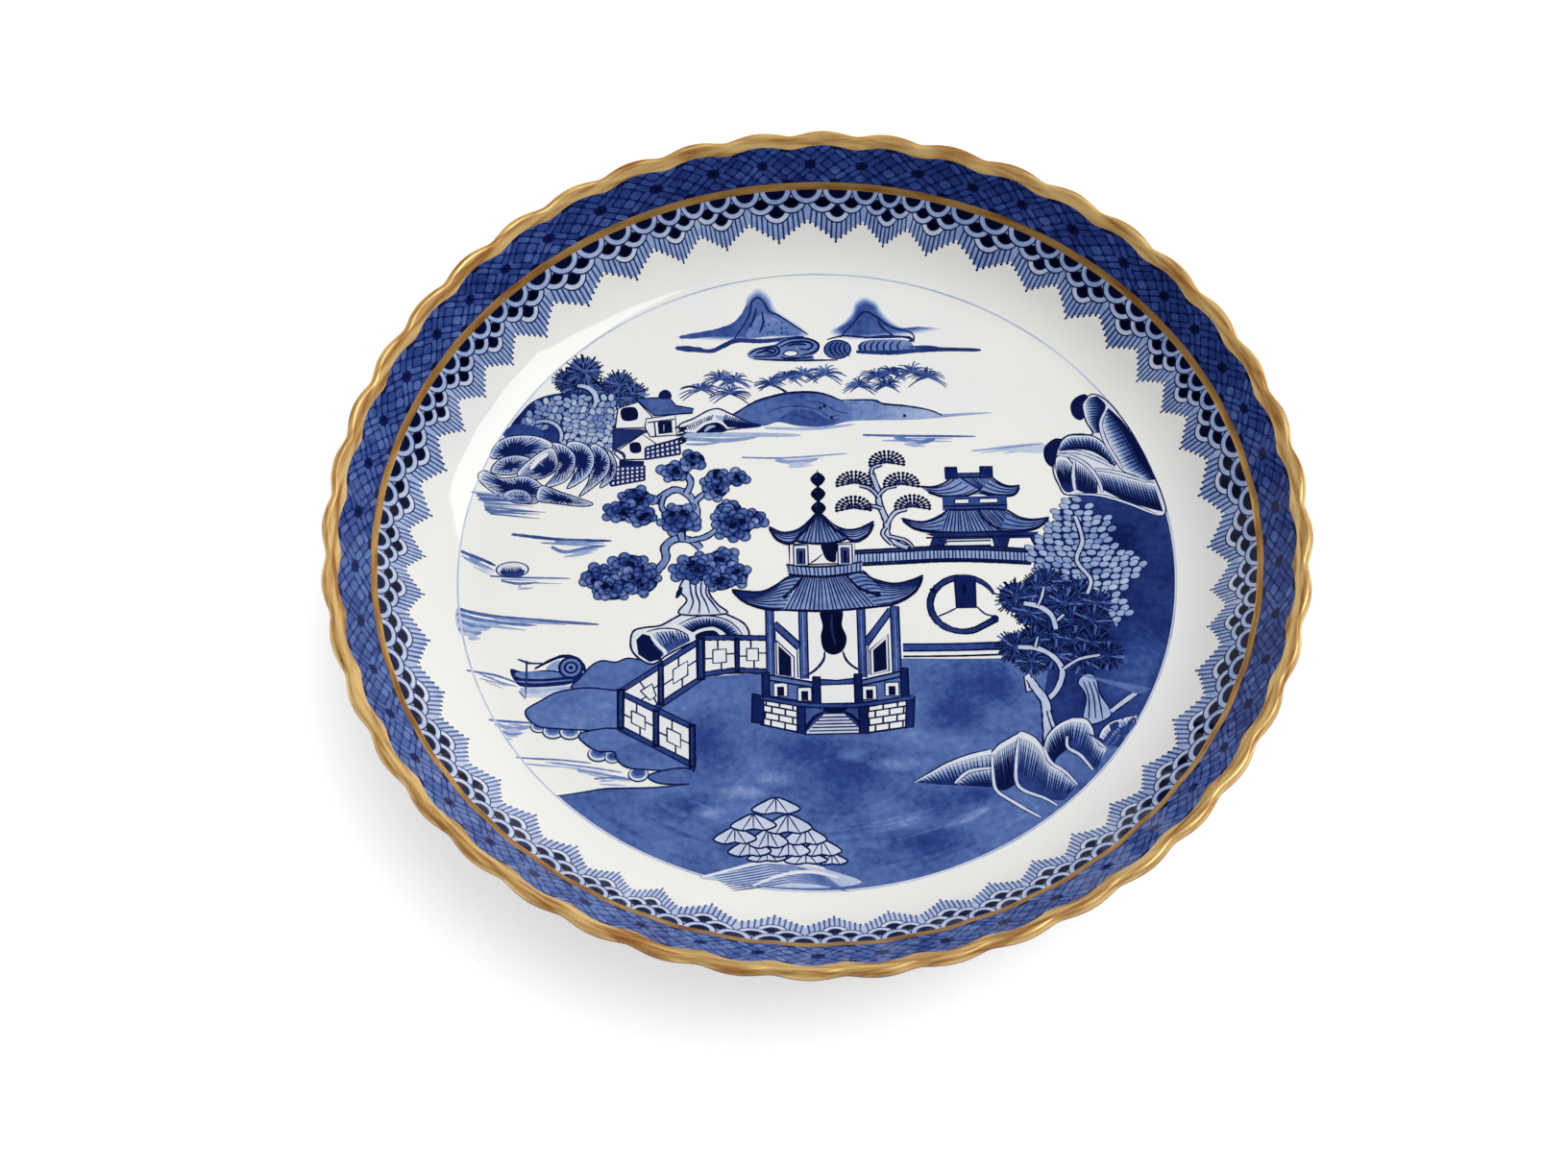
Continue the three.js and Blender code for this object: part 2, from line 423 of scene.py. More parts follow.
class DishTree(NodeBench):
    """A Geometry Nodes tree whose points lie on the fluted dish."""

    def __init__(self, name: str, inputs: dict[str, str]) -> None:
        """Starts the tree.

        Args:
            name: Name of the tree.
            inputs: Kind of socket of each input that the tree has besides the flutes and the material.
        """
        super().__init__(bpy.data.node_groups.new(name, "GeometryNodeTree"))
        face = self.tree.interface
        face.new_socket("Geometry", in_out="OUTPUT", socket_type="NodeSocketGeometry")
        self.names: dict[str, str] = {}
        kinds = {**inputs, **dict.fromkeys(FLUTE_INPUTS, "Float"), "Material": "Material"}
        for label, kind in kinds.items():
            socket = face.new_socket(label, in_out="INPUT", socket_type=f"NodeSocket{kind}")
            self.names[label] = socket.identifier
        self.given = self.tree.nodes.new("NodeGroupInput").outputs

    def read(self, label: str) -> Socket:
        """Gives the mesh of the object at an input."""
        return self.add("GeometryNodeObjectInfo", {"Object": self.given[label]}).outputs["Geometry"]

    def fluted(self, radius: Any, height: Any, down: Any, turn: Any) -> Socket:
        """Moves a point of the plain section out or in with the flutes.

        Args:
            radius: Distance from the axis.
            height: Height above the table.
            down: Distance down from the lip.
            turn: Angle round the axis.

        Returns:
            The point in space.
        """
        given, calc = self.given, self.math
        half = calc("MULTIPLY", given["Flutes"], 0.5)
        wave = calc("SINE", calc("MULTIPLY", half, calc("SUBTRACT", turn, given["First valley"])))
        soft = calc("MULTIPLY", given["Valley rounding"], given["Valley rounding"])
        rise = calc("SQRT", calc("MULTIPLY_ADD", wave, wave, soft))
        top = calc("SQRT", calc("ADD", soft, 1.0))
        low = calc("SUBTRACT", rise, given["Valley rounding"])
        span = calc("SUBTRACT", top, given["Valley rounding"])
        lobe = calc("SUBTRACT", calc("DIVIDE", low, span), 0.5)
        press = calc("MULTIPLY", given["Flute depth"], self.fade(down, 0.0, given["Flute length"]))
        reach = calc("MULTIPLY", given["Scallop"], self.fade(down, 0.0, given["Scallop length"]))
        level, upright = calc("COSINE", given["Wall slope"]), calc("SINE", given["Wall slope"])
        outward = calc("MULTIPLY_ADD", press, upright, calc("MULTIPLY", reach, level))
        upward = calc("SUBTRACT", calc("MULTIPLY", reach, upright), calc("MULTIPLY", press, level))
        far = calc("MULTIPLY_ADD", lobe, outward, radius)
        high = calc("MULTIPLY_ADD", lobe, upward, height)
        return self.join(
            calc("MULTIPLY", far, calc("COSINE", turn)), calc("MULTIPLY", far, calc("SINE", turn)), high
        )

    def close(self, geometry: Any) -> None:
        """Ends the tree: smooth, real mesh, with the material.

        Args:
            geometry: What the tree made.
        """
        smooth = self.add("GeometryNodeSetShadeSmooth", {0: geometry})
        real = self.add("GeometryNodeRealizeInstances", {0: smooth.outputs[0]})
        values = {"Geometry": real.outputs[0], "Material": self.given["Material"]}
        dressed = self.add("GeometryNodeSetMaterial", values)
        self.add("NodeGroupOutput", {0: dressed.outputs[0]})

    def make(self, name: str, material: Material, values: dict[str, Any]) -> Piece:
        """Runs the tree once and keeps the result as a plain mesh.

        Args:
            name: Name of the new piece.
            material: Its finish.
            values: The tree's inputs, apart from the flutes.

        Returns:
            The piece.
        """
        piece = place_object(name, bpy.data.meshes.new(name))
        modifier = piece.modifiers.new(name, "NODES")
        modifier.node_group = self.tree
        values = {**values, **FLUTES.inputs(PROFILE.wall_slope), "Material": material}
        for label, value in values.items():
            modifier[self.names[label]] = value
        graph = bpy.context.evaluated_depsgraph_get()
        mesh = bpy.data.meshes.new_from_object(piece.evaluated_get(graph))
        piece.modifiers.remove(modifier)
        piece.data = mesh
        return piece


class FlutedSkinTree(DishTree):
    """Turns a section round the axis and flutes it."""

    weld = 1e-6

    def __init__(self) -> None:
        """Builds the tree."""
        super().__init__("fluted_skin", {"Section": "Object", "Rows": "Int", "Columns": "Int"})
        given, calc = self.given, self.math
        sizes = {"Vertices X": calc("ADD", given["Columns"], 1.0), "Vertices Y": given["Rows"]}
        grid = self.add("GeometryNodeMeshGrid", sizes)
        index = self.add("GeometryNodeInputIndex").outputs[0]
        row = calc("MODULO", index, given["Rows"])
        column = calc("FLOOR", calc("DIVIDE", index, given["Rows"]))
        turn = calc("MULTIPLY", calc("DIVIDE", column, given["Columns"]), FULL_TURN)
        section = self.read("Section")
        place = self.add("GeometryNodeInputPosition").outputs[0]
        spot = self.sample(section, "FLOAT_VECTOR", place, row)
        down, edge = (
            self.add("GeometryNodeInputNamedAttribute", {"Name": name}, data_type="FLOAT").outputs[0]
            for name in ("down", "edge")
        )
        radius, _, height = self.split(spot)
        point = self.fluted(radius, height, self.sample(section, "FLOAT", down, row), turn)
        # The edge value darkens the gilding at thin coat edges, and as painted shade over the lip's outer
        # side.
        thin = self.sample(section, "FLOAT", edge, row)
        values = {"Geometry": grid.outputs[0], "Name": "edge", "Value": thin}
        marked = self.add("GeometryNodeStoreNamedAttribute", values, data_type="FLOAT", domain="POINT")
        moved = self.add("GeometryNodeSetPosition", {"Geometry": marked.outputs[0], "Position": point})
        values = {"Geometry": moved.outputs[0], "Distance": self.weld}
        merged = self.add("GeometryNodeMergeByDistance", values)
        self.close(self.add("GeometryNodeFlipFaces", {0: merged.outputs[0]}).outputs[0])

    def sample(self, section: Any, kind: str, value: Any, row: Any) -> Socket:
        """Reads a value at one row of the section."""
        values = {"Geometry": section, "Value": value, "Index": row}
        return self.add("GeometryNodeSampleIndex", values, data_type=kind, domain="POINT").outputs[0]

    def skin(self, name: str, rows: Sequence[Station], columns: int, material: Material) -> Piece:
        """Makes one ring-shaped piece.

        Args:
            name: Name of the piece.
            rows: Its section.
            columns: Facets round the axis.
            material: Its finish.

        Returns:
            The piece.
        """
        section = section_object(rows)
        piece = self.make(name, material, {"Section": section, "Rows": len(rows), "Columns": columns})
        bpy.data.meshes.remove(section.data)
        return piece


class BorderTree(DishTree):
    """Repeats one drawn motif round the wall, with a hand's unevenness, and lays it on the flutes."""

    weld = 1e-7

    def __init__(self) -> None:
        """Builds the tree."""
        kinds = {"Motif": "Object", "Section": "Object", "Copies": "Int", "Turn": "Float"}
        loose = dict.fromkeys(("Fixed place", "Uneven", "Unsteady", "Slow", "Quick", "Seed"), "Float")
        super().__init__("painted_border", {**kinds, **loose})
        given, calc = self.given, self.math
        spots = self.add("GeometryNodeMeshLine", {"Count": given["Copies"], "Offset": (1.0, 0.0, 0.0)})
        values = {"Points": spots.outputs[0], "Instance": self.read("Motif")}
        copies = self.add("GeometryNodeInstanceOnPoints", values)
        drawn = self.add("GeometryNodeRealizeInstances", {0: copies.outputs[0]}).outputs[0]
        along, place, lift = self.split(self.add("GeometryNodeInputPosition").outputs[0])
        share = calc("DIVIDE", along, given["Copies"])
        turn = calc("MULTIPLY_ADD", share, FULL_TURN, given["Turn"])
        slow, quick = self.waver(turn, given["Slow"]), self.waver(turn, given["Quick"])
        turn = calc("MULTIPLY_ADD", slow, given["Uneven"], turn)
        depth = calc("SUBTRACT", place, given["Fixed place"])
        stretch = calc("MULTIPLY_ADD", quick, given["Unsteady"], 1.0)
        down = calc("MULTIPLY_ADD", depth, stretch, given["Fixed place"])
        wall = self.add("GeometryNodeMeshToCurve", {0: self.read("Section")}).outputs[0]
        spot = self.add("GeometryNodeSampleCurve", {"Curves": wall, "Length": down}, mode="LENGTH")
        spot.use_all_curves = True
        radius, _, height = self.split(spot.outputs["Position"])
        slope = given["Wall slope"]
        radius = calc("SUBTRACT", radius, calc("MULTIPLY", lift, calc("SINE", slope)))
        height = calc("MULTIPLY_ADD", lift, calc("COSINE", slope), height)
        point = self.fluted(radius, height, down, turn)
        laid = self.add("GeometryNodeSetPosition", {"Geometry": drawn, "Position": point})
        values = {"Geometry": laid.outputs[0], "Distance": self.weld}
        self.close(self.add("GeometryNodeMergeByDistance", values).outputs[0])

    def waver(self, turn: Any, pace: Any) -> Socket:
        """Gives a smooth random value round the dish, from about -1/2 to 1/2, that closes on itself.

        Args:
            turn: Angle round the axis.
            pace: How fast it changes.

        Returns:
            The value.
        """
        calc = self.math
        circle = self.join(
            calc("MULTIPLY", calc("COSINE", turn), pace),
            calc("MULTIPLY", calc("SINE", turn), pace),
            self.given["Seed"],
        )
        noise = self.add("ShaderNodeTexNoise", {"Vector": circle, "Scale": 1.0, "Detail": 0.0})
        return calc("SUBTRACT", noise.outputs[0], 0.5)


def place_object(name: str, data: bpy.types.ID) -> Piece:
    """Puts a mesh, a lamp or a camera into the scene, at the origin.

    Args:
        name: The object's name.
        data: What it shows.

    Returns:
        The object.
    """
    made = bpy.data.objects.new(name, data)
    bpy.context.scene.collection.objects.link(made)
    return made


def section_object(rows: Sequence[Station]) -> Piece:
    """Makes the temporary polyline that a tree reads a section from, in metres.

    Args:
        rows: The section's points.

    Returns:
        The polyline.
    """
    mesh = bpy.data.meshes.new("section")
    spots = [(row.radius * MM, 0.0, row.height * MM) for row in rows]
    mesh.from_pydata(spots, [(k, k + 1) for k in range(len(rows) - 1)], [])
    downs = mesh.attributes.new("down", "FLOAT", "POINT")
    downs.data.foreach_set("value", [row.down * MM for row in rows])
    edges = mesh.attributes.new("edge", "FLOAT", "POINT")
    edges.data.foreach_set("value", [row.edge for row in rows])
    return place_object("section", mesh)


# Drawing with a brush


TAPERED = (0.4, 0.4)
BLUNT = (1.0, 1.0)
INSIDE_ONLY = 1


class Ink(Enum):
    """How a brush mark joins the paint under it."""

    OVER = "over"
    GLAZE = "glaze"
    WIPE = "wipe"

    def laid_on(self, under: float | None, tone: float) -> float | None:
        """Gives the tone that a mark leaves, where no paint counts as white.

        Args:
            under: Tone of the paint under it, or none.
            tone: The mark's own tone.

        Returns:
            The new tone, or none where the glaze stays bare.
        """
        if self is Ink.OVER:
            return tone
        if self is Ink.GLAZE:
            return 1 - (1 - (under or 0.0)) * (1 - tone)
        return None if under is None else under * (1 - tone)


def curve(points: Line, closed: bool = False, spacing: float = 0.45) -> list[Point]:
    """Rounds a chain of points off into a smooth line through all of them.

    Args:
        points: The points.
        closed: Whether the last point joins the first.
        spacing: Length of the straight steps that stand for the line.

    Returns:
        The points of the smooth line.
    """
    fewest, most = 2, 24
    count = len(points)
    spans = count if closed else count - 1
    smooth: list[Point] = []
    for k in range(spans):
        if closed:
            a, b, c, d = (points[(k + shift) % count] for shift in (-1, 0, 1, 2))
        else:
            a, b, c, d = (points[min(max(k + shift, 0), count - 1)] for shift in (-1, 0, 1, 2))
        steps = max(fewest, min(most, round(math.dist(b, c) / spacing)))
        for step in range(steps):
            t = step / steps
            weights = (
                (-t + 2 * t * t - t**3) / 2,
                (2 - 5 * t * t + 3 * t**3) / 2,
                (t + 4 * t * t - 3 * t**3) / 2,
                (t**3 - t * t) / 2,
            )
            smooth.append(tuple(sum(w * p[axis] for w, p in zip(weights, (a, b, c, d))) for axis in (0, 1)))
    if not closed:
        smooth.append(tuple(points[-1]))
    return smooth


def along(line: Line, share: float) -> Point:
    """Finds the point a share of the way along a line.

    Args:
        line: The line.
        share: The share, from 0 to 1.

    Returns:
        The point.
    """
    lengths = [math.dist(a, b) for a, b in zip(line, line[1:])]
    left = share * sum(lengths)
    for (a, b), length in zip(zip(line, line[1:]), lengths):
        if left <= length and length > 0:
            return between(a, b, left / length)
        left -= length
    return line[-1]


def strip(first: Line, second: Line) -> list[tuple[Point, Point, Point]]:
    """Gives the triangles between two lines that have as many points as each other.

    Args:
        first: One line.
        second: The line beside it.

    Returns:
        The triangles.
    """
    made = []
    for a, b, c, d in zip(first, first[1:], second[1:], second):
        made += [(a, b, c), (a, c, d)]
    return made


def way(*numbers: float) -> list[Point]:
    """Pairs numbers off into the points of a line."""
    return list(zip(numbers[::2], numbers[1::2]))


def corners(*numbers: float) -> list[Point]:
    """Gives the corners of a straight-sided shape; four numbers are the sides of a rectangle."""
    return rectangle(*numbers) if len(numbers) == 4 else way(*numbers)


def rectangle(left: float, top: float, right: float, bottom: float) -> list[Point]:
    """Gives the corners of an upright rectangle."""
    return [(left, top), (right, top), (right, bottom), (left, bottom)]


def arc(centre: Point, radius: float, start: float, end: float, steps: int = 12) -> list[Point]:
    """Gives points along an arc, with its angles in degrees."""
    return [around(centre, math.radians(mix(start, end, share)), radius) for share in shares(steps)]


@dataclass
class Drawing:
    """Brush marks on a flat sheet, in the order that they are laid, and the mesh that they leave."""

    hand: random.Random = field(default_factory=random.Random, init=False)
    corners: list[Point] = field(default_factory=list, init=False)
    outlines: list[list[int]] = field(default_factory=list, init=False)
    owner: list[int] = field(default_factory=list, init=False)
    marks: list[tuple[float, Ink]] = field(default_factory=list, init=False)
    paper: int | None = field(default=None, init=False)

    least_area = 1e-4
    weld = 1e-5
    tremble = 0.12
    hatch_drift = 0.15
    fewest_sides = 8
    most_sides = 40
    sides_per_mm = 14

    def mark(self, shapes: Iterable[Line], tone: float, ink: Ink = Ink.OVER) -> None:
        """Lays one mark made of one or more closed outlines.

        Args:
            shapes: The outlines.
            tone: How much cobalt it holds, from 0 to 1.
            ink: How it joins what is under it.
        """
        for shape in shapes:
            doubled = sum(a[0] * b[1] - b[0] * a[1] for a, b in zip(shape, [*shape[1:], shape[0]]))
            if abs(doubled) < self.least_area:
                continue
            first = len(self.corners)
            self.corners.extend(shape if doubled > 0 else reversed(shape))
            self.outlines.append(list(range(first, first + len(shape))))
            self.owner.append(len(self.marks))
        self.marks.append((tone, ink))

    def sheet(self, shape: Line) -> None:
        """Sets the outline that the drawing is cut to, left bare where nothing is painted."""
        self.paper = len(self.marks)
        self.mark([shape], 0.0)

    def fill(self, points: Line, tone: float, smooth: bool = True, ink: Ink = Ink.OVER) -> None:
        """Fills a closed outline."""
        self.mark([curve(points, closed=True) if smooth else list(points)], tone, ink)

    def stroke(
        self,
        points: Line,
        width: float,
        tone: float,
        ends: Ends = TAPERED,
        smooth: bool = True,
        ink: Ink = Ink.OVER,
    ) -> None:
        """Draws a brush stroke that swells between its ends.

        Args:
            points: The way that it takes.
            width: Its width in the middle.
            tone: How much cobalt it holds.
            ends: Its width at the start and the end, as shares of the middle's.
            smooth: Whether the way is rounded off.
            ink: How it joins what is under it.
        """
        line = curve(points) if smooth and len(points) > 2 else list(points)
        if len(line) == 2:
            line = [line[0], between(line[0], line[1], 0.5), line[1]]
        last = len(line) - 1
        left, right = [], []
        for k, spot in enumerate(line):
            before, after = line[max(k - 1, 0)], line[min(k + 1, last)]
            run = math.dist(before, after) or 1.0
            side = ((before[1] - after[1]) / run, (after[0] - before[0]) / run)
            low = mix(ends[0], ends[1], k / last)
            swell = mix(low, 1.0, math.sqrt(math.sin(math.pi * k / last))) if 0 < k < last else low
            half = width / 2 * swell * (1 + self.tremble * self.hand.uniform(-1, 1))
            left.append((spot[0] + side[0] * half, spot[1] + side[1] * half))
            right.append((spot[0] - side[0] * half, spot[1] - side[1] * half))
        self.mark(strip(right, left), tone, ink)

    def outline(self, points: Line, width: float, tone: float, smooth: bool = True) -> None:
        """Draws a line of even width round a closed outline."""
        ring = curve(points, closed=True) if smooth else list(points)
        self.stroke([*ring, ring[0]], width, tone, BLUNT, smooth=False)

    def shade(self, points: Line, tones: Numbers, focus: Point, reach: float = 1.0) -> None:
        """Washes an outline in steps over a share of the way to a focus, the first tone outermost."""
        for k, tone in enumerate(tones):
            self.mark([[between(spot, focus, reach * k / len(tones)) for spot in points]], tone)

    def disc(
        self, centre: Point, radius: float, tone: float, squash: float = 1.0, ink: Ink = Ink.OVER
    ) -> None:
        """Fills a round or oval spot."""
        count = max(self.fewest_sides, min(self.most_sides, round(radius * self.sides_per_mm)))
        self.mark([[around(centre, FULL_TURN * k / count, radius, squash) for k in range(count)]], tone, ink)

    def hatch(
        self,
        start: Line,
        end: Line,
        count: int,
        width: float,
        tone: float,
        ends: Ends = (0.9, 0.4),
    ) -> None:
        """Draws strokes from one line across to another, evenly along both.

        Args:
            start: Line that they start on.
            end: Line that they end on.
            count: How many.
            width: Width of a stroke.
            tone: How much cobalt it holds.
            ends: Its width at the start and the end, as shares of the middle's.
        """
        for k in range(count):
            drift = self.hand.uniform(-self.hatch_drift, self.hatch_drift)
            share = (k + 0.5 + drift) / count
            self.stroke([along(start, share), along(end, share)], width, tone, ends)

    def flatten(self, extra: Line = ()) -> tuple[list[Point], list[list[int]], list[float]]:
        """Works the overlapping marks into one sheet of triangles.

        Args:
            extra: More corners, where the sheet has to bend.

        Returns:
            The corners, the triangles and each triangle's tone.
        """
        spots = [Vector(spot) for spot in (*self.corners, *extra)]
        corners, _, faces, _, _, sources = delaunay_2d_cdt(spots, [], self.outlines, INSIDE_ONLY, self.weld)
        kept, tones = [], []
        for face, source in zip(faces, sources):
            owners = sorted({self.owner[k] for k in source})
            if self.paper is not None and self.paper not in owners:
                continue
            tone: float | None = None
            for owner in owners:
                if owner != self.paper:
                    strength, ink = self.marks[owner]
                    tone = ink.laid_on(tone, strength)
            if tone is not None:
                kept.append(list(face))
                tones.append(tone)
        used = sorted({corner for face in kept for corner in face})
        number = {corner: k for k, corner in enumerate(used)}
        flat = [(corners[k][0], corners[k][1]) for k in used]
        return flat, [[number[k] for k in face] for face in kept], tones


def toned_mesh(
    name: str, spots: Sequence[Place], faces: Sequence[Sequence[int]], tones: Sequence[float]
) -> bpy.types.Mesh:
    """Makes a mesh whose faces carry the tone of their paint.

    Args:
        name: Name of the mesh.
        spots: Its corners, in metres.
        faces: The corners of each face.
        tones: The tone of each face.

    Returns:
        The mesh.
    """
    mesh = bpy.data.meshes.new(name)
    mesh.from_pydata(spots, [], faces)
    mesh.attributes.new("tone", "FLOAT", "FACE").data.foreach_set("value", list(tones))
    mesh.shade_smooth()
    return mesh


# Finishes


# Brings x * (1 - x) up to 1 where x is a half
HALF_TONE_GAIN = 4.0


class GlazedShader(NodeBench):
    """A material under a clear gloss glaze, with the faint ripple that a dipped glaze has."""

    ripple_scale = 110.0
    ripple_height = 0.00002

    def __init__(self, name: str, roughness: float) -> None:
        """Starts the material.

        Args:
            name: Its name.
            roughness: Roughness of the glaze.
        """
        self.material = bpy.data.materials.new(name)
        self.material.use_nodes = True
        super().__init__(self.material.node_tree)
        self.coat = self.add("ShaderNodeBsdfPrincipled", {"Roughness": roughness, "IOR": 1.5})
        self.add("ShaderNodeOutputMaterial", {0: self.coat.outputs[0]})
        self.place = self.add("ShaderNodeTexCoord").outputs["Object"]
        ripple = self.noise(self.ripple_scale, 1.0)
        bump = self.add("ShaderNodeBump", {"Distance": self.ripple_height, "Height": ripple})
        self.feed(self.coat.inputs["Normal"], bump.outputs[0])

    def noise(self, scale: float, detail: float, place: Any = None) -> Socket:
        """Gives a noise over the piece, or over another place, with a scale per metre."""
        values = {"Vector": place or self.place, "Scale": scale, "Detail": detail}
        return self.add("ShaderNodeTexNoise", values).outputs[0]

    def ramp(self, value: Any, stops: Sequence[tuple[float, Colour]]) -> Socket:
        """Turns a value into a colour.

        Args:
            value: The value, from 0 to 1.
            stops: Value and colour of each step of the ramp.

        Returns:
            The colour.
        """
        node = self.add("ShaderNodeValToRGB", {0: value})
        steps = node.color_ramp.elements
        while len(steps) < len(stops):
            steps.new(1.0)
        for step, (spot, colour) in zip(steps, stops):
            step.position = spot
            step.color = colour
        return node.outputs[0]

    def blend(self, share: Any, first: Any, second: Any) -> Socket:
        """Mixes two colours.

        Args:
            share: How much of the second.
            first: One colour.
            second: The other.

        Returns:
            The mixture.
        """
        node = self.add("ShaderNodeMix", data_type="RGBA")
        self.feed(node.inputs["Factor"], share)
        self.feed(node.inputs[6], first)
        self.feed(node.inputs[7], second)
        return node.outputs[2]


PORCELAIN_WHITE = linear(237, 236, 231)


@dataclass(frozen=True)
class PorcelainFinish:
    """Warm white porcelain under a clear glaze, bare and dull where the foot stands."""

    white: Colour = PORCELAIN_WHITE
    cool_white: Colour = linear(232, 233, 230)
    bare_clay: Colour = linear(218, 206, 186)
    roughness: float = 0.045
    bare_roughness: float = 0.7
    bare_height: float = 0.00028
    cloud_scale: float = 28.0
    cloud_from: float = 0.35
    cloud_to: float = 0.65
    grit_scale: float = 9000.0

    def material(self) -> Material:
        """Builds the material.

        Returns:
            The material.
        """
        shader = GlazedShader("porcelain_glaze", self.roughness)
        cloud = shader.noise(self.cloud_scale, 2.0)
        body = shader.ramp(cloud, [(self.cloud_from, self.white), (self.cloud_to, self.cool_white)])
        height = shader.split(shader.place)[2]
        bare = shader.fade(height, self.bare_height * 0.5, self.bare_height * 1.5)
        grit = shader.noise(self.grit_scale, 3.0)
        clay = shader.blend(grit, self.bare_clay, self.white)
        shader.feed(shader.coat.inputs["Base Color"], shader.blend(bare, body, clay))
        rough = shader.fade(bare, 0.0, 1.0, self.roughness, self.bare_roughness)
        shader.feed(shader.coat.inputs["Roughness"], rough)
        return shader.material


@dataclass(frozen=True)
class CobaltFinish:
    """Cobalt under the glaze: the piece's tone picks the blue, and the wash pools unevenly."""

    stops: tuple[tuple[float, Colour], ...] = (
        (0.0, PORCELAIN_WHITE),
        (0.12, linear(202, 210, 225)),
        (0.3, linear(150, 169, 206)),
        (0.5, linear(91, 116, 174)),
        (0.7, linear(46, 68, 134)),
        (0.86, linear(15, 29, 86)),
        (1.0, linear(0, 2, 16)),
    )
    roughness: float = 0.045
    pool_scale: float = 120.0
    grain_scale: float = 900.0
    pooling: float = 0.4
    grain: float = 0.26

    def material(self) -> Material:
        """Builds the material.

        Returns:
            The material.
        """
        shader = GlazedShader("cobalt_under_glaze", self.roughness)
        tone = shader.add("ShaderNodeAttribute", attribute_name="tone").outputs["Fac"]
        room = shader.math("MULTIPLY", tone, shader.math("SUBTRACT", 1.0, tone))
        pool = shader.math("SUBTRACT", shader.noise(self.pool_scale, 4.0), 0.5)
        grain = shader.math("SUBTRACT", shader.noise(self.grain_scale, 3.0), 0.5)
        uneven = shader.math("MULTIPLY_ADD", pool, self.pooling, shader.math("MULTIPLY", grain, self.grain))
        uneven = shader.math("MULTIPLY", uneven, HALF_TONE_GAIN)
        held = shader.math("MULTIPLY_ADD", uneven, room, tone)
        shader.feed(shader.coat.inputs["Base Color"], shader.ramp(held, self.stops))
        return shader.material


@dataclass(frozen=True)
class GiltFinish:
    """Burnished gilding over the glaze. Brown streaks round the dish are partly rubbed gilding and partly
    painted reflection; dark brown edges are thin gilding, and painted shade over the lip's outer side.
    """

    name: str = "burnished_gilding"
    gold: Colour = linear(250, 210, 136)
    worn_and_painted_shade: Colour = linear(176, 116, 50)
    # Dark brown at the gilding's edges: thin gilding at a band's edges, and painted shade over the lip's
    # outer side.
    edge: Colour = linear(96, 54, 20)
    roughness: float = 0.26
    dull_roughness: float = 0.4
    metal: float = 0.4
    streak_length: float = 130.0
    streak_width: float = 1500.0
    streak_from: float = 0.4
    streak_to: float = 0.66
    dull_to: float = 0.7

    def material(self) -> Material:
        """Builds the material, with brown streaks round the dish that stand partly for rubbed gilding and
        partly for painted reflection streaks.

        Returns:
            The material.
        """
        shader = GlazedShader(self.name, self.roughness)
        shader.coat.inputs["Metallic"].default_value = self.metal
        x, y, _ = shader.split(shader.place)
        radius = shader.math("SQRT", shader.math("MULTIPLY_ADD", x, x, shader.math("MULTIPLY", y, y)))
        sides = [shader.math("MULTIPLY", side, self.streak_length) for side in (x, y)]
        streak = shader.join(shader.math("MULTIPLY", radius, self.streak_width), *sides)
        # Painted reflection streaks, partly also rubbed gilding: a noise drawn out round the dish turns the
        # gold browner and duller in bands.
        wear_and_sheen = shader.noise(1.0, 4.0, streak)
        shade = shader.ramp(wear_and_sheen, [(self.streak_from, self.gold), (self.streak_to, self.worn_and_painted_shade)])
        # Painted shade as well as thin edges: this value turns the gold dark brown over the lip's outer side
        # and at each band's edges.
        thin = shader.add("ShaderNodeAttribute", attribute_name="edge").outputs["Fac"]
        shader.feed(shader.coat.inputs["Base Color"], shader.blend(thin, shade, self.edge))
        rough = shader.fade(wear_and_sheen, self.streak_from, self.dull_to, self.roughness, self.dull_roughness)
        shader.feed(shader.coat.inputs["Roughness"], rough)
        return shader.material


# The saucer's pieces


@dataclass
class Wares:
    """The trees and finishes that the pieces share."""

    skins: FlutedSkinTree = field(default_factory=FlutedSkinTree)
    borders: BorderTree = field(default_factory=BorderTree)
    porcelain: Material = field(default_factory=lambda: PorcelainFinish().material())
    cobalt: Material = field(default_factory=lambda: CobaltFinish().material())
    gilt: Material = field(default_factory=lambda: GiltFinish().material())
    thin_gilt: Material = field(
        default_factory=lambda: GiltFinish("thin_gilding", linear(244, 192, 110), metal=0.74).material()
    )


class Slot(Enum):
    """The record's finishes."""

    PORCELAIN = "porcelain"
    COBALT = "cobalt"
    GILDING = "gilding"


def settle(piece: Piece, node: str | None = None) -> Piece:
    """Ties a finished piece to the saucer's one body.

    Args:
        piece: The piece.
        node: The CAD node that it stands for, if it stands for one.

    Returns:
        The piece.
    """
    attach(piece, "root")
    if node:
        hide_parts(node)
    LOG.info("%s: %d faces", piece.name, len(piece.data.polygons))
    return piece


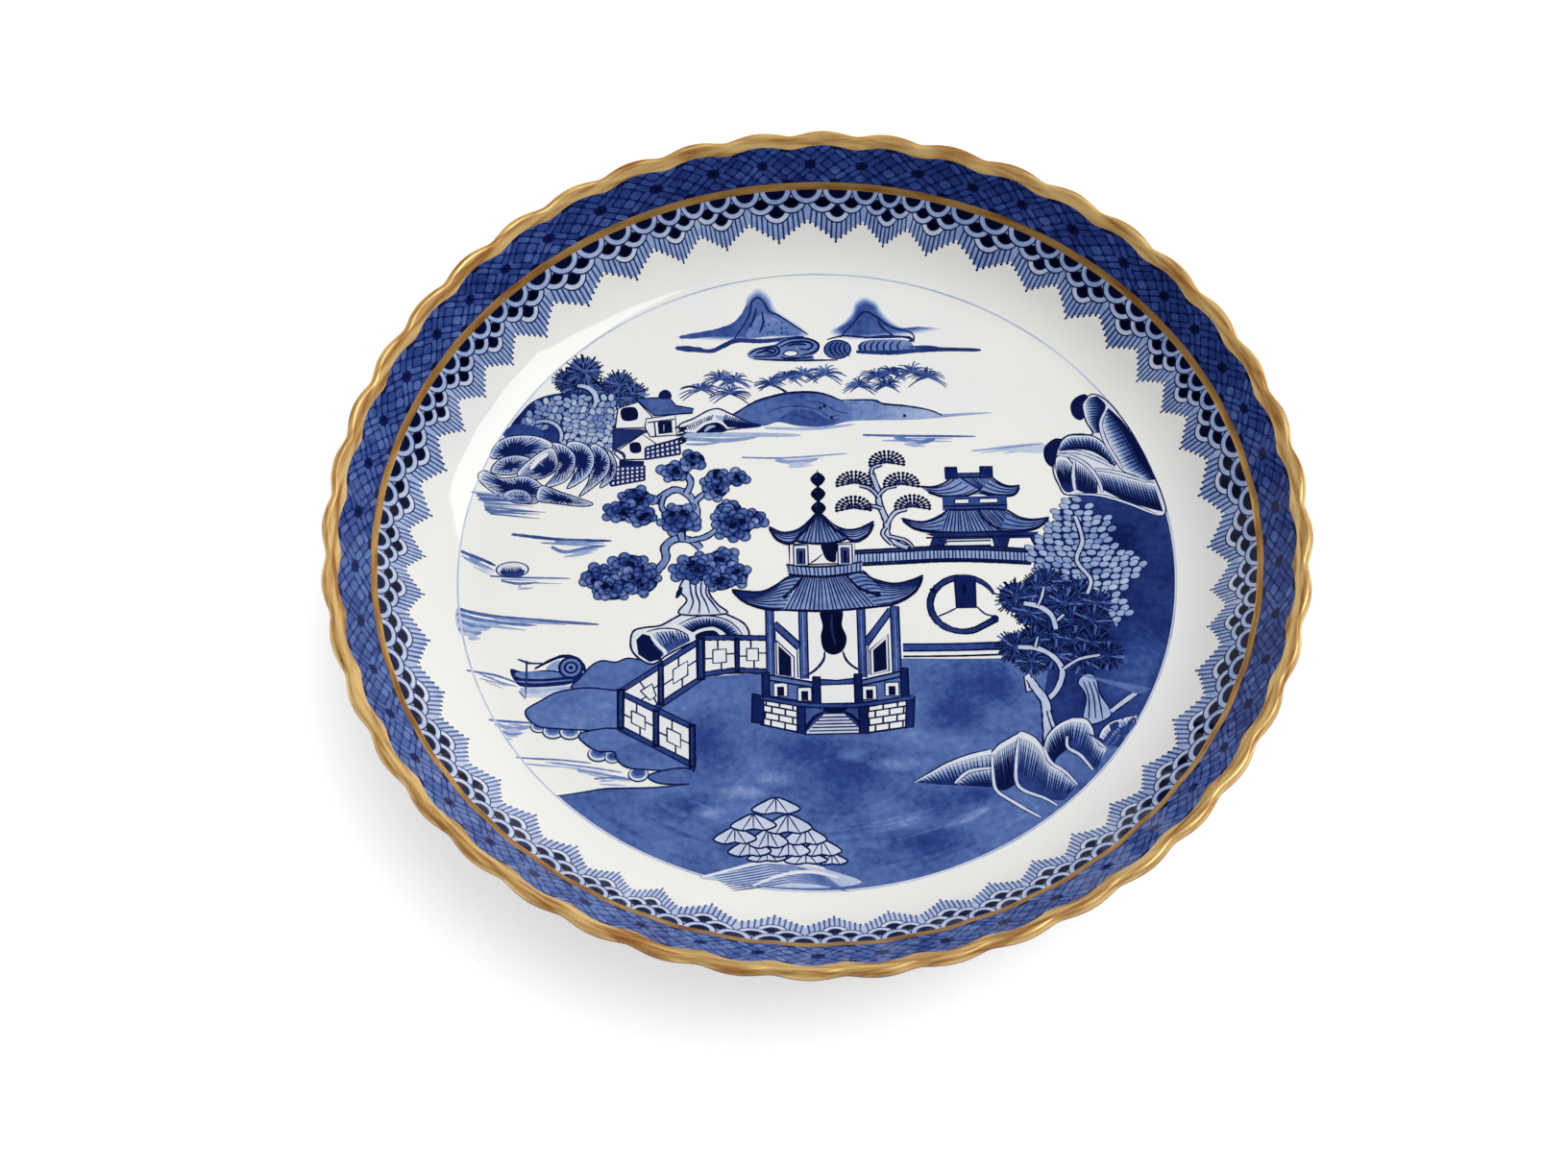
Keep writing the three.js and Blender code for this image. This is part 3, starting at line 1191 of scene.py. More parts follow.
@dataclass
class Dish:
    """The porcelain body and the rings that are laid on it."""

    wares: Wares
    columns: int = FLUTES.count * 20
    gilt_rows: int = 8
    gilt_under: float = 0.35
    upper_share: float = 0.92
    under_share: float = 0.9
    # The gilding turns dark brown across this share of the lip's round and below it: painted shade on its
    # outer side.
    dark_lip_from: float = 0.45
    dark_lip_to: float = 0.75
    line_tone: float = 0.24
    line_waver: float = 0.5
    line_waves: int = 6
    quickest_wave: int = 17
    line_seed: int = 5

    def build(self) -> None:
        """Makes the body, the gilded lip, the gilt line and the line round the well."""
        skins, wares = self.wares.skins, self.wares
        body = skins.skin("saucer_body", PROFILE.contour(), self.columns, wares.porcelain)
        settle(body, "porcelain_body")
        rim = skins.skin("gilt_lip", self.lip_coat(), self.columns, wares.gilt)
        settle(rim, "gilt_rim")
        rows = self.coat(BANDS.gilt_line_start, BANDS.gilt_line_end, BANDS.gilding)
        line = skins.skin("gilt_circle", rows, self.columns, wares.thin_gilt)
        settle(line, "gilt_line")
        rows = self.coat(BANDS.well_line_start, BANDS.well_line_end, BANDS.coat)
        ring = skins.skin("well_circle", rows, self.columns, wares.cobalt)
        self.brush(ring)
        settle(ring, "well_line")

    def coat(self, start: float, end: float, thickness: float) -> list[Station]:
        """Rows of a thin coat on the upper face, pressed down at both edges.

        Args:
            start: Its upper edge.
            end: Its lower edge.
            thickness: Its thickness.

        Returns:
            The rows.
        """
        rows = []
        for share in shares(self.gilt_rows):
            lift = thickness * math.sqrt(math.sin(math.pi * share)) if 0 < share < 1 else 0.0
            row = PROFILE.upper.at(mix(end, start, share), lift)
            rows.append(replace(row, edge=0.0 if lift else 1.0))
        return rows

    def lip_coat(self) -> list[Station]:
        """Rows of the gilding that wraps the lip.

        Returns:
            The rows.
        """
        thickness = BANDS.gilding
        rows = [replace(PROFILE.upper.at(BANDS.gilt_rim_end), edge=1.0)]
        for share in shares(self.gilt_rows)[:-1]:
            rows.append(PROFILE.upper.at(mix(BANDS.gilt_rim_end * self.upper_share, 0.0, share), thickness))
        # Painted shade: over the outer part of the lip's round and on its underside the gilding turns dark
        # brown.
        for share in shares(PROFILE.lip_rows):
            thin = min(max((share - self.dark_lip_from) / (self.dark_lip_to - self.dark_lip_from), 0.0), 1.0)
            rows.append(replace(PROFILE.lip(share, thickness), edge=thin))
        rows.append(replace(PROFILE.under.at(self.gilt_under * self.under_share, thickness), edge=1.0))
        rows.append(replace(PROFILE.under.at(self.gilt_under), edge=1.0))
        return rows

    def brush(self, ring: Piece) -> None:
        """Gives the well line the uneven tone of one long pull of the brush, paler at its edges.

        Args:
            ring: The line.
        """
        hand = random.Random(self.line_seed)
        waves = [
            (hand.randint(1, self.quickest_wave), hand.uniform(0, FULL_TURN))
            for _ in range(self.line_waves)
        ]
        radii = [math.hypot(face.center.x, face.center.y) for face in ring.data.polygons]
        middle, half = (max(radii) + min(radii)) / 2, (max(radii) - min(radii)) / 2
        tones = []
        for face, radius in zip(ring.data.polygons, radii):
            turn = math.atan2(face.center.y, face.center.x)
            waver = sum(math.sin(pace * turn + start) for pace, start in waves) / len(waves)
            soft = 1 - ((radius - middle) / half) ** 2
            tones.append(self.line_tone * soft * (1 + self.line_waver * waver))
        ring.data.attributes.new("tone", "FLOAT", "FACE").data.foreach_set("value", tones)


@dataclass
class Border(Drawing):
    """A band of one drawn motif repeated round the wall."""

    wares: Wares
    name: str
    node: str
    copies: int
    turn: float
    radius: float
    top: float
    bottom: float
    uneven: float
    unsteady: float
    mesh_step: float = 0.55
    darker: float = 0.02
    drift: float = 0.11
    drift_turn: float = math.radians(60)
    slow: float = 2.2
    quick: float = 9.0
    section_rows: int = 100
    section_step: float = 0.25

    @property
    def period(self) -> float:
        """Width of one motif, at the band's mean radius."""
        return FULL_TURN * self.radius / self.copies

    def draw(self) -> None:
        """Draws one motif, from x = 0 to the period, with y down the wall."""
        raise NotImplementedError

    def build(self) -> None:
        """Draws the motif, repeats it and lays it on the wall."""
        self.hand.seed(self.copies)
        self.sheet(rectangle(0.0, self.top, self.period, self.bottom))
        self.draw()
        columns = round(self.period / self.mesh_step)
        rows = round((self.bottom - self.top) / self.mesh_step)
        grid = [
            (self.period * across, mix(self.top, self.bottom, down))
            for across in shares(columns)
            for down in shares(rows)
        ]
        corners, faces, tones = self.flatten(grid)
        spots = [(x / self.period, y * MM, BANDS.coat * MM) for x, y in corners]
        motif = place_object("motif", toned_mesh("motif", spots, faces, tones))
        downs = [step * self.section_step for step in range(self.section_rows)]
        section = section_object([PROFILE.upper.at(down) for down in downs])
        values = {
            "Motif": motif,
            "Section": section,
            "Copies": self.copies,
            "Turn": self.turn,
            "Fixed place": self.top * MM,
            "Uneven": self.uneven,
            "Unsteady": self.unsteady,
            "Slow": self.slow,
            "Quick": self.quick,
            "Seed": float(self.copies),
        }
        piece = self.wares.borders.make(self.name, self.wares.cobalt, values)
        bpy.data.meshes.remove(motif.data)
        bpy.data.meshes.remove(section.data)
        self.wash(piece)
        settle(piece, self.node)

    def wash(self, piece: Piece) -> None:
        """Darkens the paint a little all round, and more towards the back right of the dish than towards the
        front left.

        Args:
            piece: The painted border.
        """
        paint = piece.data.attributes["tone"].data
        for face, dab in zip(piece.data.polygons, paint):
            turn = math.atan2(face.center.y, face.center.x)
            change = self.darker + self.drift * math.cos(turn - self.drift_turn)
            dab.value += HALF_TONE_GAIN * change * dab.value * (1 - dab.value)


@dataclass
class DiaperBorder(Border):
    """The lattice band: rounded cells parted by dark lines, with a star at each main crossing."""

    name: str = "lattice_border"
    node: str = "diaper_border"
    copies: int = 50
    turn: float = 0.05
    radius: float = 66.0
    top: float = 1.2
    bottom: float = 6.7
    uneven: float = 0.1
    unsteady: float = 0.0
    cell_tone: float = 0.64
    cell_spread: float = 0.06
    line_tone: float = 0.84
    star_tone: float = 0.95
    star_reach: float = 1.35
    gap: float = 0.024
    inner_cuts: Numbers = (0.2, 0.5, 0.8)
    side_cuts: Numbers = (0.12, 0.5, 0.88)
    corner_cut: float = 0.22
    star_points: int = 8
    star_squash: float = 0.75
    glow_tone: float = 0.35
    ray_width: float = 0.34
    heart: float = 0.36

    def spot(self, across: float, down: float) -> Point:
        """Places a point of the lattice, in half periods across and half bands down."""
        return (across * self.period / 2, mix(self.top, self.bottom, (down + 1) / 2))

    def draw(self) -> None:
        """Draws one star's width of the lattice."""
        self.fill([self.spot(*corner) for corner in rectangle(0, -1, 2, 1)], self.line_tone, smooth=False)
        for middle in ((1, 0), (0, 1), (2, 1), (0, -1), (2, -1)):
            self.block(middle)
        for across, down in ((0, 0), (2, 0), (1, -1), (1, 1)):
            self.star(self.spot(across, down))

    def block(self, middle: tuple[int, int]) -> None:
        """Fills the lozenge between four stars: four cells, and long ones beside the main lines.

        Args:
            middle: Middle of the lozenge, on the lattice.
        """
        inner = list(zip(self.inner_cuts, self.inner_cuts[1:]))
        long = list(zip(self.side_cuts, self.side_cuts[1:]))
        sides = ((0.0, self.inner_cuts[0]), (self.inner_cuts[-1], 1.0))
        cells = [(p, q) for p in inner for q in inner]
        cells += [(p, q) for p in sides for q in long] + [(p, q) for p in long for q in sides]
        for number, ((p0, p1), (q0, q1)) in enumerate(cells):
            cell = rectangle(p0 + self.gap, q0 + self.gap, p1 - self.gap, q1 - self.gap)
            ring = []
            for start, end in zip(cell, [*cell[1:], cell[0]]):
                ring += [between(start, end, self.corner_cut), between(start, end, 1 - self.corner_cut)]
            corners = [self.spot(middle[0] + p + q - 1, middle[1] + p - q) for p, q in ring]
            tone = self.cell_tone + self.cell_spread * math.sin(2.3 * number + 1.7 * middle[1])
            self.fill(corners, tone)

    def star(self, centre: Point) -> None:
        """Draws a dark star whose points thin out.

        Args:
            centre: Its place.
        """
        self.disc(centre, self.star_reach * 0.7, self.glow_tone, squash=self.star_squash, ink=Ink.GLAZE)
        for point in range(self.star_points):
            reach = self.star_reach * (1.0 if point % 2 else 0.75)
            tip = around(centre, FULL_TURN * point / self.star_points, reach, self.star_squash)
            self.stroke([centre, tip], self.ray_width, self.star_tone - 0.05, ends=(1.0, 0.2))
        self.disc(centre, self.heart, self.star_tone)


@dataclass
class ScaleBorder(Border):
    """Rows of fish scales that end in spears, with a fringe of fine hatched lines."""

    name: str = "scale_and_spear_border"
    node: str = "scale_border"
    copies: int = 47
    turn: float = -0.03
    radius: float = 60.0
    top: float = 7.7
    bottom: float = 16.1
    uneven: float = 0.16
    unsteady: float = 0.16
    notch: float = BANDS.spear_notch
    tip: float = BANDS.spear_tip
    hatch_lines: int = 11
    hatch_width: float = 0.27
    hatch_top: float = 1.0
    hatch_lean: float = 0.12
    bead: float = 0.19
    fringe: float = 0.3
    edge_bend: float = 0.9
    hatch_tone: float = 0.66
    ground: float = 0.26
    edge_tone: float = 0.82
    thickness: float = 0.78
    edge_steps: int = 16
    arc_steps: int = 14
    rows: tuple[tuple[float, float, Numbers, float, float], ...] = (
        (2.35, 4.85, (0.5,), 0.13, 0.98),
        (1.15, 3.4, (0.25, 0.75), 0.2, 1.0),
        (-0.1, 2.05, (0.0, 0.5, 1.0), 0.24, 0.96),
    )

    def edge(self, x: float) -> float:
        """Finds how far down the painted edge lies, at a place across the motif."""
        share = abs(x / self.period - 0.5) * 2
        return mix(self.tip, self.notch, math.pow(share, self.edge_bend))

    def draw(self) -> None:
        """Draws one spear's width, with the spear in the middle."""
        width = self.period
        steps = [width * share for share in shares(self.edge_steps)]
        zone = [(x, self.edge(x) - self.fringe) for x in steps]
        self.fill([(0.0, self.top), *zone, (width, self.top)], self.ground, smooth=False)
        for k in range(self.hatch_lines):
            x = width * (k + 0.5) / self.hatch_lines
            root, end = (mix(x, width / 2, self.hatch_lean), self.top + self.hatch_top), (x, self.edge(x))
            self.stroke([root, end], self.hatch_width, self.hatch_tone, ends=(1.0, 1.1))
            self.disc((x, end[1] - 0.05), self.bead, self.hatch_tone + 0.1)
        for start, end, centres, pale, dark in self.rows:
            for centre in centres:
                self.scale(centre * width, self.top + start, self.top + end, pale, dark)

    def scale(self, middle: float, start: float, end: float, pale: float, dark: float) -> None:
        """Draws one scale: a dark heart in a thick pale crescent with a dark edge.

        Args:
            middle: Its place across the motif.
            start: Where it begins, down the wall.
            end: Where it ends.
            pale: Tone of the crescent.
            dark: Tone of the heart.
        """
        half, deep, thick = self.period / 4, end - start, self.thickness
        layers = (
            (half + 0.12, deep + 0.2, self.edge_tone),
            (half - 0.06, deep - 0.04, pale),
            (half - thick * 0.85, deep - thick * 0.85, mix(pale, dark, 0.6)),
            (half - thick, deep - thick, dark),
        )
        for wide, low, tone in layers:
            turns = [math.pi * share for share in shares(self.arc_steps)]
            self.mark([[(middle + wide * math.cos(a), start + low * math.sin(a)) for a in turns]], tone)


# The painted lake scene


class Brushwork(Drawing):
    """The ways of drawing that the scene's parts share, with points given as plain numbers."""

    edge_width = 0.24
    rail_width = 0.36
    joint_width = 0.28
    key_width = 0.26
    sweep_steps = 8

    def line(self, width: float, tone: float, *spots: float, ends: Ends = TAPERED) -> None:
        """Draws a rounded stroke."""
        self.stroke(way(*spots), width, tone, ends)

    def bar(self, width: float, tone: float, *spots: float) -> None:
        """Draws a stroke with blunt ends."""
        self.stroke(way(*spots), width, tone, BLUNT)

    def patch(self, tone: float, *spots: float, ink: Ink = Ink.OVER) -> None:
        """Fills a rounded outline."""
        self.fill(way(*spots), tone, ink=ink)

    def slab(self, tone: float, *spots: float) -> None:
        """Fills a straight-sided shape."""
        self.fill(corners(*spots), tone, smooth=False)

    def panel(self, tone: float, *spots: float, edge: float = 0.92) -> None:
        """Fills a straight-sided shape and lines its edge."""
        self.slab(tone, *spots)
        self.outline(corners(*spots), self.edge_width, edge, smooth=False)

    def crag(self, outline: Numbers, focus: Point) -> None:
        """Draws a rock: a pale rim, combed inwards down to a dark hollow.

        Args:
            outline: Its edge.
            focus: The middle of the hollow.
        """
        dark, pale, steps = 0.88, 0.08, 7
        rim_width, comb_width = 0.34, 0.17
        ring = curve(way(*outline), closed=True, spacing=0.3)
        rim = rim_width / (sum(math.dist(spot, focus) for spot in ring) / len(ring))
        self.mark([ring], pale)
        for k in range(steps):
            share = min((1 + 0.6 * k) * rim, 0.1 + 0.1 * k)
            self.mark([[between(spot, focus, share) for spot in ring]], mix(0.3, dark, k / (steps - 1)))
        for k, spot in enumerate(ring):
            inner = min(rim * self.hand.uniform(2.4, 6.0), 0.75)
            comb = [between(spot, focus, inner * (0.3 if k % 2 else 0.1)), between(spot, focus, inner)]
            self.stroke(comb, comb_width, dark if k % 2 else 0.22, ends=(0.3, 1.0) if k % 2 else (1.0, 0.2))
        self.outline(way(*outline), 0.2, 0.86)

    def slope(self, upper: Numbers, lower: Numbers, low: float, count: int) -> None:
        """Draws a rock's face that darkens downwards, combed with strokes.

        Args:
            upper: Its pale upper edge.
            lower: Its lower edge.
            low: Tone at the lower edge.
            count: How many strokes fall from the upper edge.
        """
        steps, columns = 8, 24
        top, foot = curve(way(*upper)), curve(way(*lower))
        sides = [(along(top, share), along(foot, share)) for share in shares(columns)]
        levels = [[between(*side, share) for side in sides] for share in shares(steps)]
        for k in range(steps):
            self.mark(strip(levels[k], levels[k + 1]), mix(0.08, low, min(k / (steps - 2), 1.0)))
        self.hatch(levels[1], levels[steps - 2], count, 0.22, min(low + 0.1, 0.94), ends=(0.2, 1.0))
        self.stroke(top, 0.24, 0.88)

    def slopes(self, flanks: Flanks, ridges: Rows) -> None:
        """Draws the faces of a rock, then the white ridges between them.

        Args:
            flanks: What slope takes for each face.
            ridges: The ridges.
        """
        for flank in flanks:
            self.slope(*flank)
        for ridge in ridges:
            self.line(0.76, 0.82, *ridge)
            self.line(0.44, 0.14, *ridge)

    def roof(self, sides: Roof) -> None:
        """Draws the sides of a roof, each from what tiles takes."""
        for side in sides:
            self.tiles(*side)

    def tiles(
        self,
        count: int,
        ridge: Numbers,
        eave: Numbers,
        swept: bool = False,
        ground: float = 0.44,
        line: float = 0.86,
    ) -> None:
        """Draws one side of a tiled roof.

        Args:
            count: How many lines it has.
            ridge: Its upper edge.
            eave: Its lower edge.
            swept: Whether the lines run along both edges, and not from one to the other.
            ground: Tone between the lines.
            line: Tone of the lines.
        """
        top, bottom = curve(way(*ridge)), curve(way(*eave))
        self.band(top, bottom, ground)
        if swept:
            pairs = [(along(top, share), along(bottom, share)) for share in shares(self.sweep_steps)]
            for k in range(count):
                row = [between(*pair, (k + 0.5) / count) for pair in pairs]
                self.stroke(row, 0.24, line, ends=(0.9, 0.3))
        else:
            self.hatch(top, bottom, count, 0.24, line, ends=(0.8, 0.8))
        self.stroke(top, 0.36, 0.93, ends=(0.8, 0.8), smooth=False)
        self.stroke(bottom, 0.44, 0.95, ends=(0.8, 0.8), smooth=False)

    def band(self, first: Line, second: Line, tone: float) -> None:
        """Fills the space between two lines that run side by side.

        Args:
            first: One line.
            second: The other.
            tone: How much cobalt it holds.
        """
        steps = shares(max(len(first), len(second)))
        self.mark(strip(*([along(line, share) for share in steps] for line in (first, second))), tone)

    def lattice(self, outline: Numbers, columns: int, rows: int) -> None:
        """Fills a four-sided shape with white and crosses it with lines both ways.

        Args:
            outline: The shape's corners.
            columns: Spaces across.
            rows: Spaces down.
        """
        a, b, c, d = corners(*outline)
        self.slab(0.1, *outline)
        for first, second, count in (((a, b), (d, c), columns), ((a, d), (b, c), rows)):
            for share in shares(count):
                rod = [between(*first, share), between(*second, share)]
                self.stroke(rod, self.rail_width, 0.84, BLUNT)

    def bricks(self, outline: Numbers) -> None:
        """Draws white bricks with dark joints on a four-sided shape.

        Args:
            outline: The shape's corners.
        """
        columns, rows = 3, 4
        a, b, c, d = corners(*outline)
        self.slab(0.04, *outline)
        for row in range(rows):
            top = between(a, d, row / rows), between(b, c, row / rows)
            foot = between(a, d, (row + 1) / rows), between(b, c, (row + 1) / rows)
            self.stroke(top, self.joint_width, 0.9, BLUNT)
            for column in range(columns):
                share = (column + (0.75 if row % 2 else 0.3)) / columns
                self.stroke([between(*top, share), between(*foot, share)], self.joint_width, 0.9, BLUNT)
        self.stroke([d, c], 0.32, 0.93, BLUNT)

    def key_panel(self, outline: Numbers) -> None:
        """Draws a white fence panel with a square key in line work.

        Args:
            outline: The panel's corners.
        """
        low, high = 0.3, 0.7
        a, b, c, d = corners(*outline)
        square = (low, low, high, low, high, high, low, high, low, low)
        arms = ((0.45, 0, 0.45, low), (0.55, high, 0.55, 1), (0, 0.55, low, 0.55), (high, 0.45, 1, 0.45))
        self.slab(0.04, *outline)
        for path in (square, *arms):
            spots = [between(between(a, b, u), between(d, c, u), v) for u, v in way(*path)]
            self.stroke(spots, self.key_width, 0.84, BLUNT, smooth=False)

    def rounded_leaves(self, centre: Point, wide: float, tall: float) -> None:
        """Draws a cluster of round leaves, the inner ones darker and over the outer ones.

        Args:
            centre: Its middle.
            wide: Half its width.
            tall: Half its height.
        """
        count = round(wide * tall * 1.7)
        squash = (tall - 0.6) / (wide - 0.6)
        self.disc(centre, wide * 0.75, 0.9, squash=tall / wide)
        for k in reversed(range(count)):
            reach = math.sqrt((k + 0.5) / count)
            turn = 2.4 * k + self.hand.uniform(-0.3, 0.3)
            leaf = around(centre, turn, (wide - 0.6) * reach, squash)
            size = self.hand.uniform(0.7, 0.95)
            tone = mix(0.84, 0.54, reach) + self.hand.uniform(-0.07, 0.07)
            self.disc(leaf, size, 0.92)
            self.disc(leaf, size - 0.14, tone)
            self.disc(around(leaf, turn, size * 0.36), size * 0.34, tone - 0.1)
            self.stroke([between(leaf, centre, 0.3), leaf], 0.26, 0.92, ends=(1.0, 0.2))
        for _ in range(3):
            turn, reach = self.hand.uniform(0, FULL_TURN), wide * self.hand.uniform(0, 0.4)
            self.disc(around(centre, turn, reach, squash), self.hand.uniform(0.3, 0.6), 0.96)

    def leaf(self, spot: Point, turn: float, tone: float, size: float = 0.7) -> None:
        """Draws a small oval leaf with a dark edge.

        Args:
            spot: Its middle.
            turn: The way that it points, in degrees.
            tone: How much cobalt it holds.
            size: Half its length.
        """
        sides = 12
        way_x, way_y = around((0.0, 0.0), math.radians(turn), 1.0)
        for grow, shade in ((0.15, 0.88), (0.0, tone)):
            ring = [around((0.0, 0.0), FULL_TURN * k / sides, size + grow, 0.64) for k in range(sides)]
            turned = [(spot[0] + x * way_x - y * way_y, spot[1] + x * way_y + y * way_x) for x, y in ring]
            self.mark([turned], shade)

    def branch(self, points: Line, width: float, tone: float) -> None:
        """Draws a pale branch between dark lines."""
        self.stroke(points, width + 0.5, 0.9, ends=(0.9, 0.8))
        self.stroke(points, width, tone, ends=(0.85, 0.7))

    def spikes(self, centre: Point, reach: float, squash: float = 1.0, ground: float = 0.76) -> None:
        """Draws a clump of needles that radiate from its heart to a ragged edge.

        Args:
            centre: Its middle.
            reach: Half its width.
            squash: Its height, as a share of its width.
            ground: Tone behind the needles.
        """
        self.disc(centre, reach * 0.82, ground, squash=squash)
        for ring, inner in ((0.5, 0.1), (1.0, 0.45)):
            count = round(reach * ring * 12)
            for k in range(count):
                turn = FULL_TURN * (k + self.hand.uniform(-0.4, 0.4)) / count
                tip = around(centre, turn, reach * ring * self.hand.uniform(0.88, 1.1), squash)
                root = around(centre, turn, reach * self.hand.uniform(inner, inner + 0.15), squash)
                tone = self.hand.uniform(0.92, 1.0) if k % 7 else 0.54
                self.stroke([root, tip], 0.23, tone, ends=(0.5, 1.0))

    def ripple(self, points: Line, width: float, tone: float) -> None:
        """Draws a stroke of still water: a dark line, with fainter ones that trail under it.

        Args:
            points: The way that it takes.
            width: Its width.
            tone: How much cobalt it holds.
        """
        self.stroke(points, width, tone, ends=(0.8, 0.2))
        for k in (1, 2):
            start, end = sorted((self.hand.uniform(0.1, 0.5), self.hand.uniform(0.55, 0.95)))
            low = [(x, y - 0.45 * k) for x, y in (along(points, start), along(points, end))]
            self.stroke(low, width * 0.9, tone * 0.6, ends=(0.5, 0.2))


@dataclass
class Scenery(Brushwork):
    """A part of the scene, drawn in the well's plane: x to the right, y away from the viewer."""

    name: str = "scenery"
    bends: Numbers = (-1.2, -0.1, 0.8, 1.6, 2.4)
    bend_end: float = 358.0
    bend_steps: int = 179
    lift: float = 0.012
    layer_lift: float = 0.004

    def draw(self) -> None:
        """Lays the part's brush marks."""
        raise NotImplementedError

    def build(self, layer: int, material: Material) -> None:
        """Draws the part and drapes it on the well.

        Args:
            layer: How many parts were painted before it.
            material: The cobalt.
        """
        self.hand.seed(layer + 1)
        self.draw()
        grid = []
        for bend in self.bends:
            radius = PROFILE.upper.flat_radius + bend
            grid += arc((0.0, 0.0), radius, 0.0, self.bend_end, self.bend_steps)
        spots, faces, tones = self.flatten(grid)
        lift = self.lift + self.layer_lift * layer
        places = []
        for x, y in spots:
            height = PROFILE.upper.at(PROFILE.upper_row(math.hypot(x, y))).height
            places.append((x * MM, y * MM, (height + lift) * MM))
        mesh = toned_mesh(self.name, places, faces, tones)
        mesh.materials.append(material)
        settle(place_object(self.name, mesh))


@dataclass
class FarMountains(Scenery):
    """Two misty peaks with scrolled rocks at their feet."""

    name: str = "far_mountains"
    left_peak: Numbers = (
        -20.2, 41.2, -15, 42, -11.7, 43.4, -9.9, 45.6, -9.5, 48, -7.75, 49.7, -6, 48.3, -4.9, 45.6,
        -2.6, 43.6, -0.2, 41.2, -2, 40.6, -6, 40.7, -9.5, 40.3, -12.5, 40.4, -15.5, 40.6,
    )
    right_peak: Numbers = (
        3, 41.4, 4.8, 43, 6.3, 45, 6.9, 46.9, 8.5, 47.7, 10.1, 46.7, 11, 44.8, 12.9, 42.6, 15.4, 41.5,
        19.8, 41.7, 15.4, 40.7, 11, 40.3, 6, 40.1,
    )
    folds: Rows = (
        (-11.4, 40.6, -10, 43, -9, 45.2, -8.7, 47.2, -7.8, 48, -6.9, 47.2, -6.2, 45.6, -4.5, 44.5,
         -0.4, 41.1),
        (-8, 46.2, -8.3, 44.6, -9, 42.6), (-7.2, 45.4, -7, 43.4, -7.6, 41.6),
        (4.4, 40.4, 6.5, 43, 8.2, 45, 10, 44, 12, 42.2, 15.2, 40.9, 15.4, 39.2),
        (10.1, 43.8, 10.8, 42, 12.6, 40.4), (2.5, 40.1, 5, 40.7, 9, 40.3, 15, 40.3),
        (-8.6, 36.9, -3, 36.5, 4, 36.4),
    )
    scroll: Numbers = (
        -9.5, 37.8, -8.4, 38.8, -5.6, 39.4, -3.8, 40.4, -1, 40.6, 1, 39.6, 1.2, 38.2, 0.2, 37.2, 0.4, 36.5,
        -4, 36.5, -8.4, 36.8,
    )
    coils: Rows = (
        (-9.3, 37.7, -8, 38.6, -5.4, 39.1, -4.7, 38.2, -5.6, 37.4, -8.6, 37.3),
        (-8.2, 37.9, -6.6, 38.3, -5.6, 38),
        (-5.2, 39.2, -3.4, 40.3, -0.6, 40.4, 1.1, 39.4, 0.9, 38.2, -0.4, 37.6, -1.8, 37.3),
        (-4.6, 38.9, -3, 39.7, -0.6, 39.8, 0.3, 39.1, -0.4, 38.4, -1.8, 38.6),
        (-4.4, 37.3, -4, 36.9, -2, 36.9, 0.4, 37), (-7.2, 38.4, -6, 38.7, -5.2, 38.4, -5.6, 37.9, -7, 37.7),
        (-3.6, 39.1, -2.2, 39.4, -0.6, 39.3),
        (8, 40.2, 11, 40.5, 14.4, 40.2, 15.2, 39.6, 13, 39.3, 9, 39.5),
    )

    def draw(self) -> None:
        """Washes the peaks, then lines and scrolls them."""
        tones = (0.1, 0.22, 0.36, 0.48, 0.58, 0.65)
        self.shade(curve(way(*self.left_peak), closed=True), tones, (-7.9, 43), 0.3)
        self.patch(0.5, -7.4, 45, -4.6, 43.8, -2, 41.6, -6, 41, -9.6, 41)
        self.line(1.2, 0.66, -19.6, 41.1, -15.5, 41.6, -12, 42.6, -10, 44.6, -9.2, 46.6, ends=(0.2, 0.5))
        self.shade(curve(way(*self.right_peak), closed=True), tones, (8.4, 43), 0.34)
        self.line(1.0, 0.82, -20.2, 39.2, -18.4, 39, -16, 38.7)
        self.line(0.8, 0.76, -20, 39.2, -18, 39, -15, 38.5, -13, 39.4, -11, 40.3, -7, 40.1, -1, 40.7)
        for _ in range(26):
            self.disc((self.hand.uniform(-7, -3.2), self.hand.uniform(41.3, 43.6)), 0.16, 0.7)
        self.patch(0.46, *self.scroll)
        for coil in self.coils:
            self.line(0.42, 0.88, *coil)
        self.disc((-3, 37.75), 1.2, 0.82, squash=0.55)
        self.disc((-3, 37.75), 0.95, 0.04, squash=0.45)
        self.disc((4, 38.3), 2.1, 0.86, squash=0.84)
        self.disc((4, 38.3), 1.85, 0.62, squash=0.84)
        self.patch(0.5, 7, 38.6, 8, 39.7, 11, 39.9, 14.5, 39.6, 15.2, 38.2, 12, 37.5, 8, 37.6)
        for k, x in enumerate((2.9, 3.6, 4.3, 5, 7.4, 8.1, 9, 9.9, 10.9, 11.9, 13)):
            self.line(0.3, 0.88, x + 0.6, 39.6, x, 38.9, x + 0.1, 37.9, x + 0.8, 37.5 if k > 3 else 37)
        for fold in self.folds:
            self.line(0.38, 0.84, *fold)
        self.line(0.85, 0.78, 6.8, 37.8, 12, 37.5, 18, 37.9, 25.4, 37.6, ends=(0.6, 0.3))
        self.line(0.5, 0.74, 14.6, 38.4, 17.6, 38.4, 20, 37.9)


